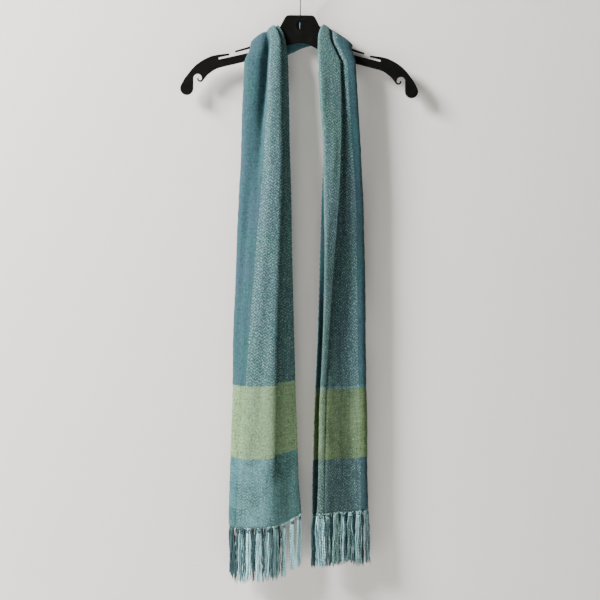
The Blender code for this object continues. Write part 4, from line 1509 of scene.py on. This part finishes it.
@dataclass
class Studio:
    """A pale wall just behind, a pale floor below, one soft lamp from the upper left, the camera.

    Lengths are metres, turns degrees and powers watts. The ambient is the world's own light.
    """

    wall_y: float = 0.021
    floor_z: float = -1.32
    half_width: float = 7.0
    half_height: float = 5.0
    floor_y: Pair = (-6.0, 6.0)
    middle: Place = (0.0, 0.0, -0.55)
    camera_at: Place = (-0.0016, -2.3, -0.5948)
    lens: float = 76.2
    key_turn: float = 65.0
    key_rise: float = 36.0
    key_distance: float = 3.2
    key_size: float = 0.9
    key_power: float = 405.0
    fill_power: float = 3.0
    rear_power: float = 40.0
    ambient: float = 0.03

    def surface(self, name: str, corners: list, color: Color, one_sided: bool) -> Object:
        """Make a flat backdrop piece.

        A one-sided piece is seen only from its front, and lamps shine through it, so the scarf's
        back is lit and can be looked at.

        Args:
            name: The object's name.
            corners: Its four corners.
            color: Its paint.
            one_sided: Whether it is clear from behind.

        Returns:
            The object.
        """
        mesh = bpy.data.meshes.new(name)
        mesh.from_pydata(corners, [], [(0, 1, 2, 3)])
        made, graph, shader = new_material(name)
        cloud = graph.noise(graph.node("TexCoord").outputs["Object"], 1.6)
        shade = graph.mix(graph.spread(cloud, 0.3, 0.7), color, tuple(0.965 * part for part in color))
        graph.fill(shader, {"Base Color": shade, "Roughness": 0.95, "Specular IOR Level": 0.1})
        if one_sided:
            back = graph.node("NewGeometry").outputs["Backfacing"]
            hidden = graph.math("MAXIMUM", back, graph.node("LightPath").outputs["Is Shadow Ray"])
            clear = graph.node("BsdfTransparent").outputs[0]
            mixed = graph.feed(graph.node("MixShader"), hidden, shader.outputs[0], clear)
            graph.put(made.node_tree.nodes["Material Output"].inputs["Surface"], mixed)
        mesh.materials.append(made)
        return add_object(name, mesh)

    def lamp(self, name: str, place: Place, size: float, power: float, color: Color) -> Object:
        """Hang a square area lamp that points at the studio's middle.

        Args:
            name: The lamp's name.
            place: Where it hangs.
            size: The length of its side.
            power: Its power in watts.
            color: Its colour.

        Returns:
            The lamp.
        """
        data = bpy.data.lights.new(name, "AREA")
        data.size = size
        data.energy = power
        data.color = color
        lamp = add_object(name, data)
        lamp.location = place
        x, y, z = np.array(self.middle) - np.array(place)
        lamp.rotation_euler = (math.atan2(math.hypot(x, y), -z), 0.0, math.atan2(-x, y))
        return lamp

    def build(self) -> None:
        """Set out the backdrop, the lamps, the world and the camera."""
        wide, high = self.half_width, self.half_height
        upright = ((-wide, -high), (wide, -high), (wide, high), (-wide, high))
        near, far = self.floor_y
        level = ((-wide, near), (wide, near), (wide, far), (-wide, far))
        corners = [(x, self.wall_y, z) for x, z in upright]
        wall = self.surface("pale_wall", corners, (0.79, 0.77, 0.75), True)
        corners = [(x, y, self.floor_z) for x, y in level]
        floor = self.surface("pale_floor", corners, (0.72, 0.71, 0.69), False)
        turn, rise = math.radians(self.key_turn), math.radians(self.key_rise)
        towards = (-math.sin(turn) * math.cos(rise), -math.cos(turn) * math.cos(rise), math.sin(rise))
        place = tuple(at + self.key_distance * part for at, part in zip(self.middle, towards))
        key = self.lamp("window_lamp", place, self.key_size, self.key_power, (1.0, 0.985, 0.96))
        fill = self.lamp("fill_lamp", (-0.4, -3.4, 0.3), 2.5, self.fill_power, (0.96, 0.98, 1.0))
        rear = self.lamp("rear_lamp", (-1.0, 2.4, 0.9), 2.0, self.rear_power, (1.0, 1.0, 1.0))

        world = bpy.data.worlds.new("soft_room")
        bpy.context.scene.world = world
        world.use_nodes = True
        graph = Graph(world.node_tree)
        rays = graph.node("LightPath")
        room = (self.ambient, self.ambient, self.ambient * 1.04)
        shade = graph.mix(rays.outputs["Is Camera Ray"], room, (0.62, 0.61, 0.60))
        graph.put(world.node_tree.nodes["Background"].inputs["Color"], shade)

        data = bpy.data.cameras.new("photo_camera")
        data.lens = self.lens
        data.sensor_width = 36.0
        data.clip_end = 50.0
        camera = add_object("photo_camera", data)
        camera.location = self.camera_at
        camera.rotation_euler = (math.radians(90.0), 0.0, 0.0)
        bpy.context.scene.camera = camera


def main() -> None:
    """Build every piece in order and report it."""
    logging.basicConfig(level=logging.INFO, format="%(message)s")
    scarf = Scarf()
    colors = YarnColors()
    groups = {
        "warp_stripes": WarpStripes(colors).group(),
        "thread_weave": BrokenTwill().group(),
        "dye_patches": DyePatches().group(),
    }
    woven = WovenFinish(colors, scarf.length).material(groups)
    yarn = YarnFinish().material(groups)
    black, worn = (0.0030, 0.0030, 0.0028), (0.007, 0.007, 0.0065)
    plastic = HardFinish("matt_black_plastic", black, worn, 0.46, 0.0, 1400.0, 0.10).material()
    steel = HardFinish("dark_wire", (0.09, 0.09, 0.10), (0.16, 0.15, 0.14), 0.4, 0.8, 900.0).material()

    cloth, grid = scarf.build(woven)
    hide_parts("scarf_left_drop", "scarf_neck", "scarf_right_drop")
    fringes = []
    left_fringe = Fringe(End.LEFT, grid[0], 11)
    right_fringe = Fringe(
        End.RIGHT,
        grid[-1],
        29,
        # darker knots: painted shade under the cloth's edge
        knot_tint=(0.6, 1.1),
        pale_knots=0.35,
        tint=0.56,
        pale=0.18,
        # painted light on the yarns by the inner selvedge
        painted_edge_light=0.68,
        edge_reach=0.026,
        dark_share=0.28,
        # share of knots darkened as painted shade
        painted_shade_knots=0.4,
        open_share=-0.2,
        fold_share=0.53,
        shades=(1.12, 1.15, 0.8, 0.9, 0.95, 0.9, 0.75, 0.6, 0.7, 0.8, 0.8, 0.8, 0.8, 0.8, 0.6),
    )
    for fringe in (left_fringe, right_fringe):
        piece = fringe.build(yarn)
        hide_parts(f"fringe_{fringe.end.value}")
        fringes.append(piece)
    wire = WireHook().build(steel)
    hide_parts("hanger_hook")
    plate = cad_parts["hanger_plate"]
    plate.data.materials.clear()
    plate.data.materials.append(plastic)
    log.info("%s: %s", plate.name, plastic.name)
    for piece in (cloth, *fringes, wire):
        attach(piece, "root")
    Studio().build()


if __name__ == "__main__":
    main()
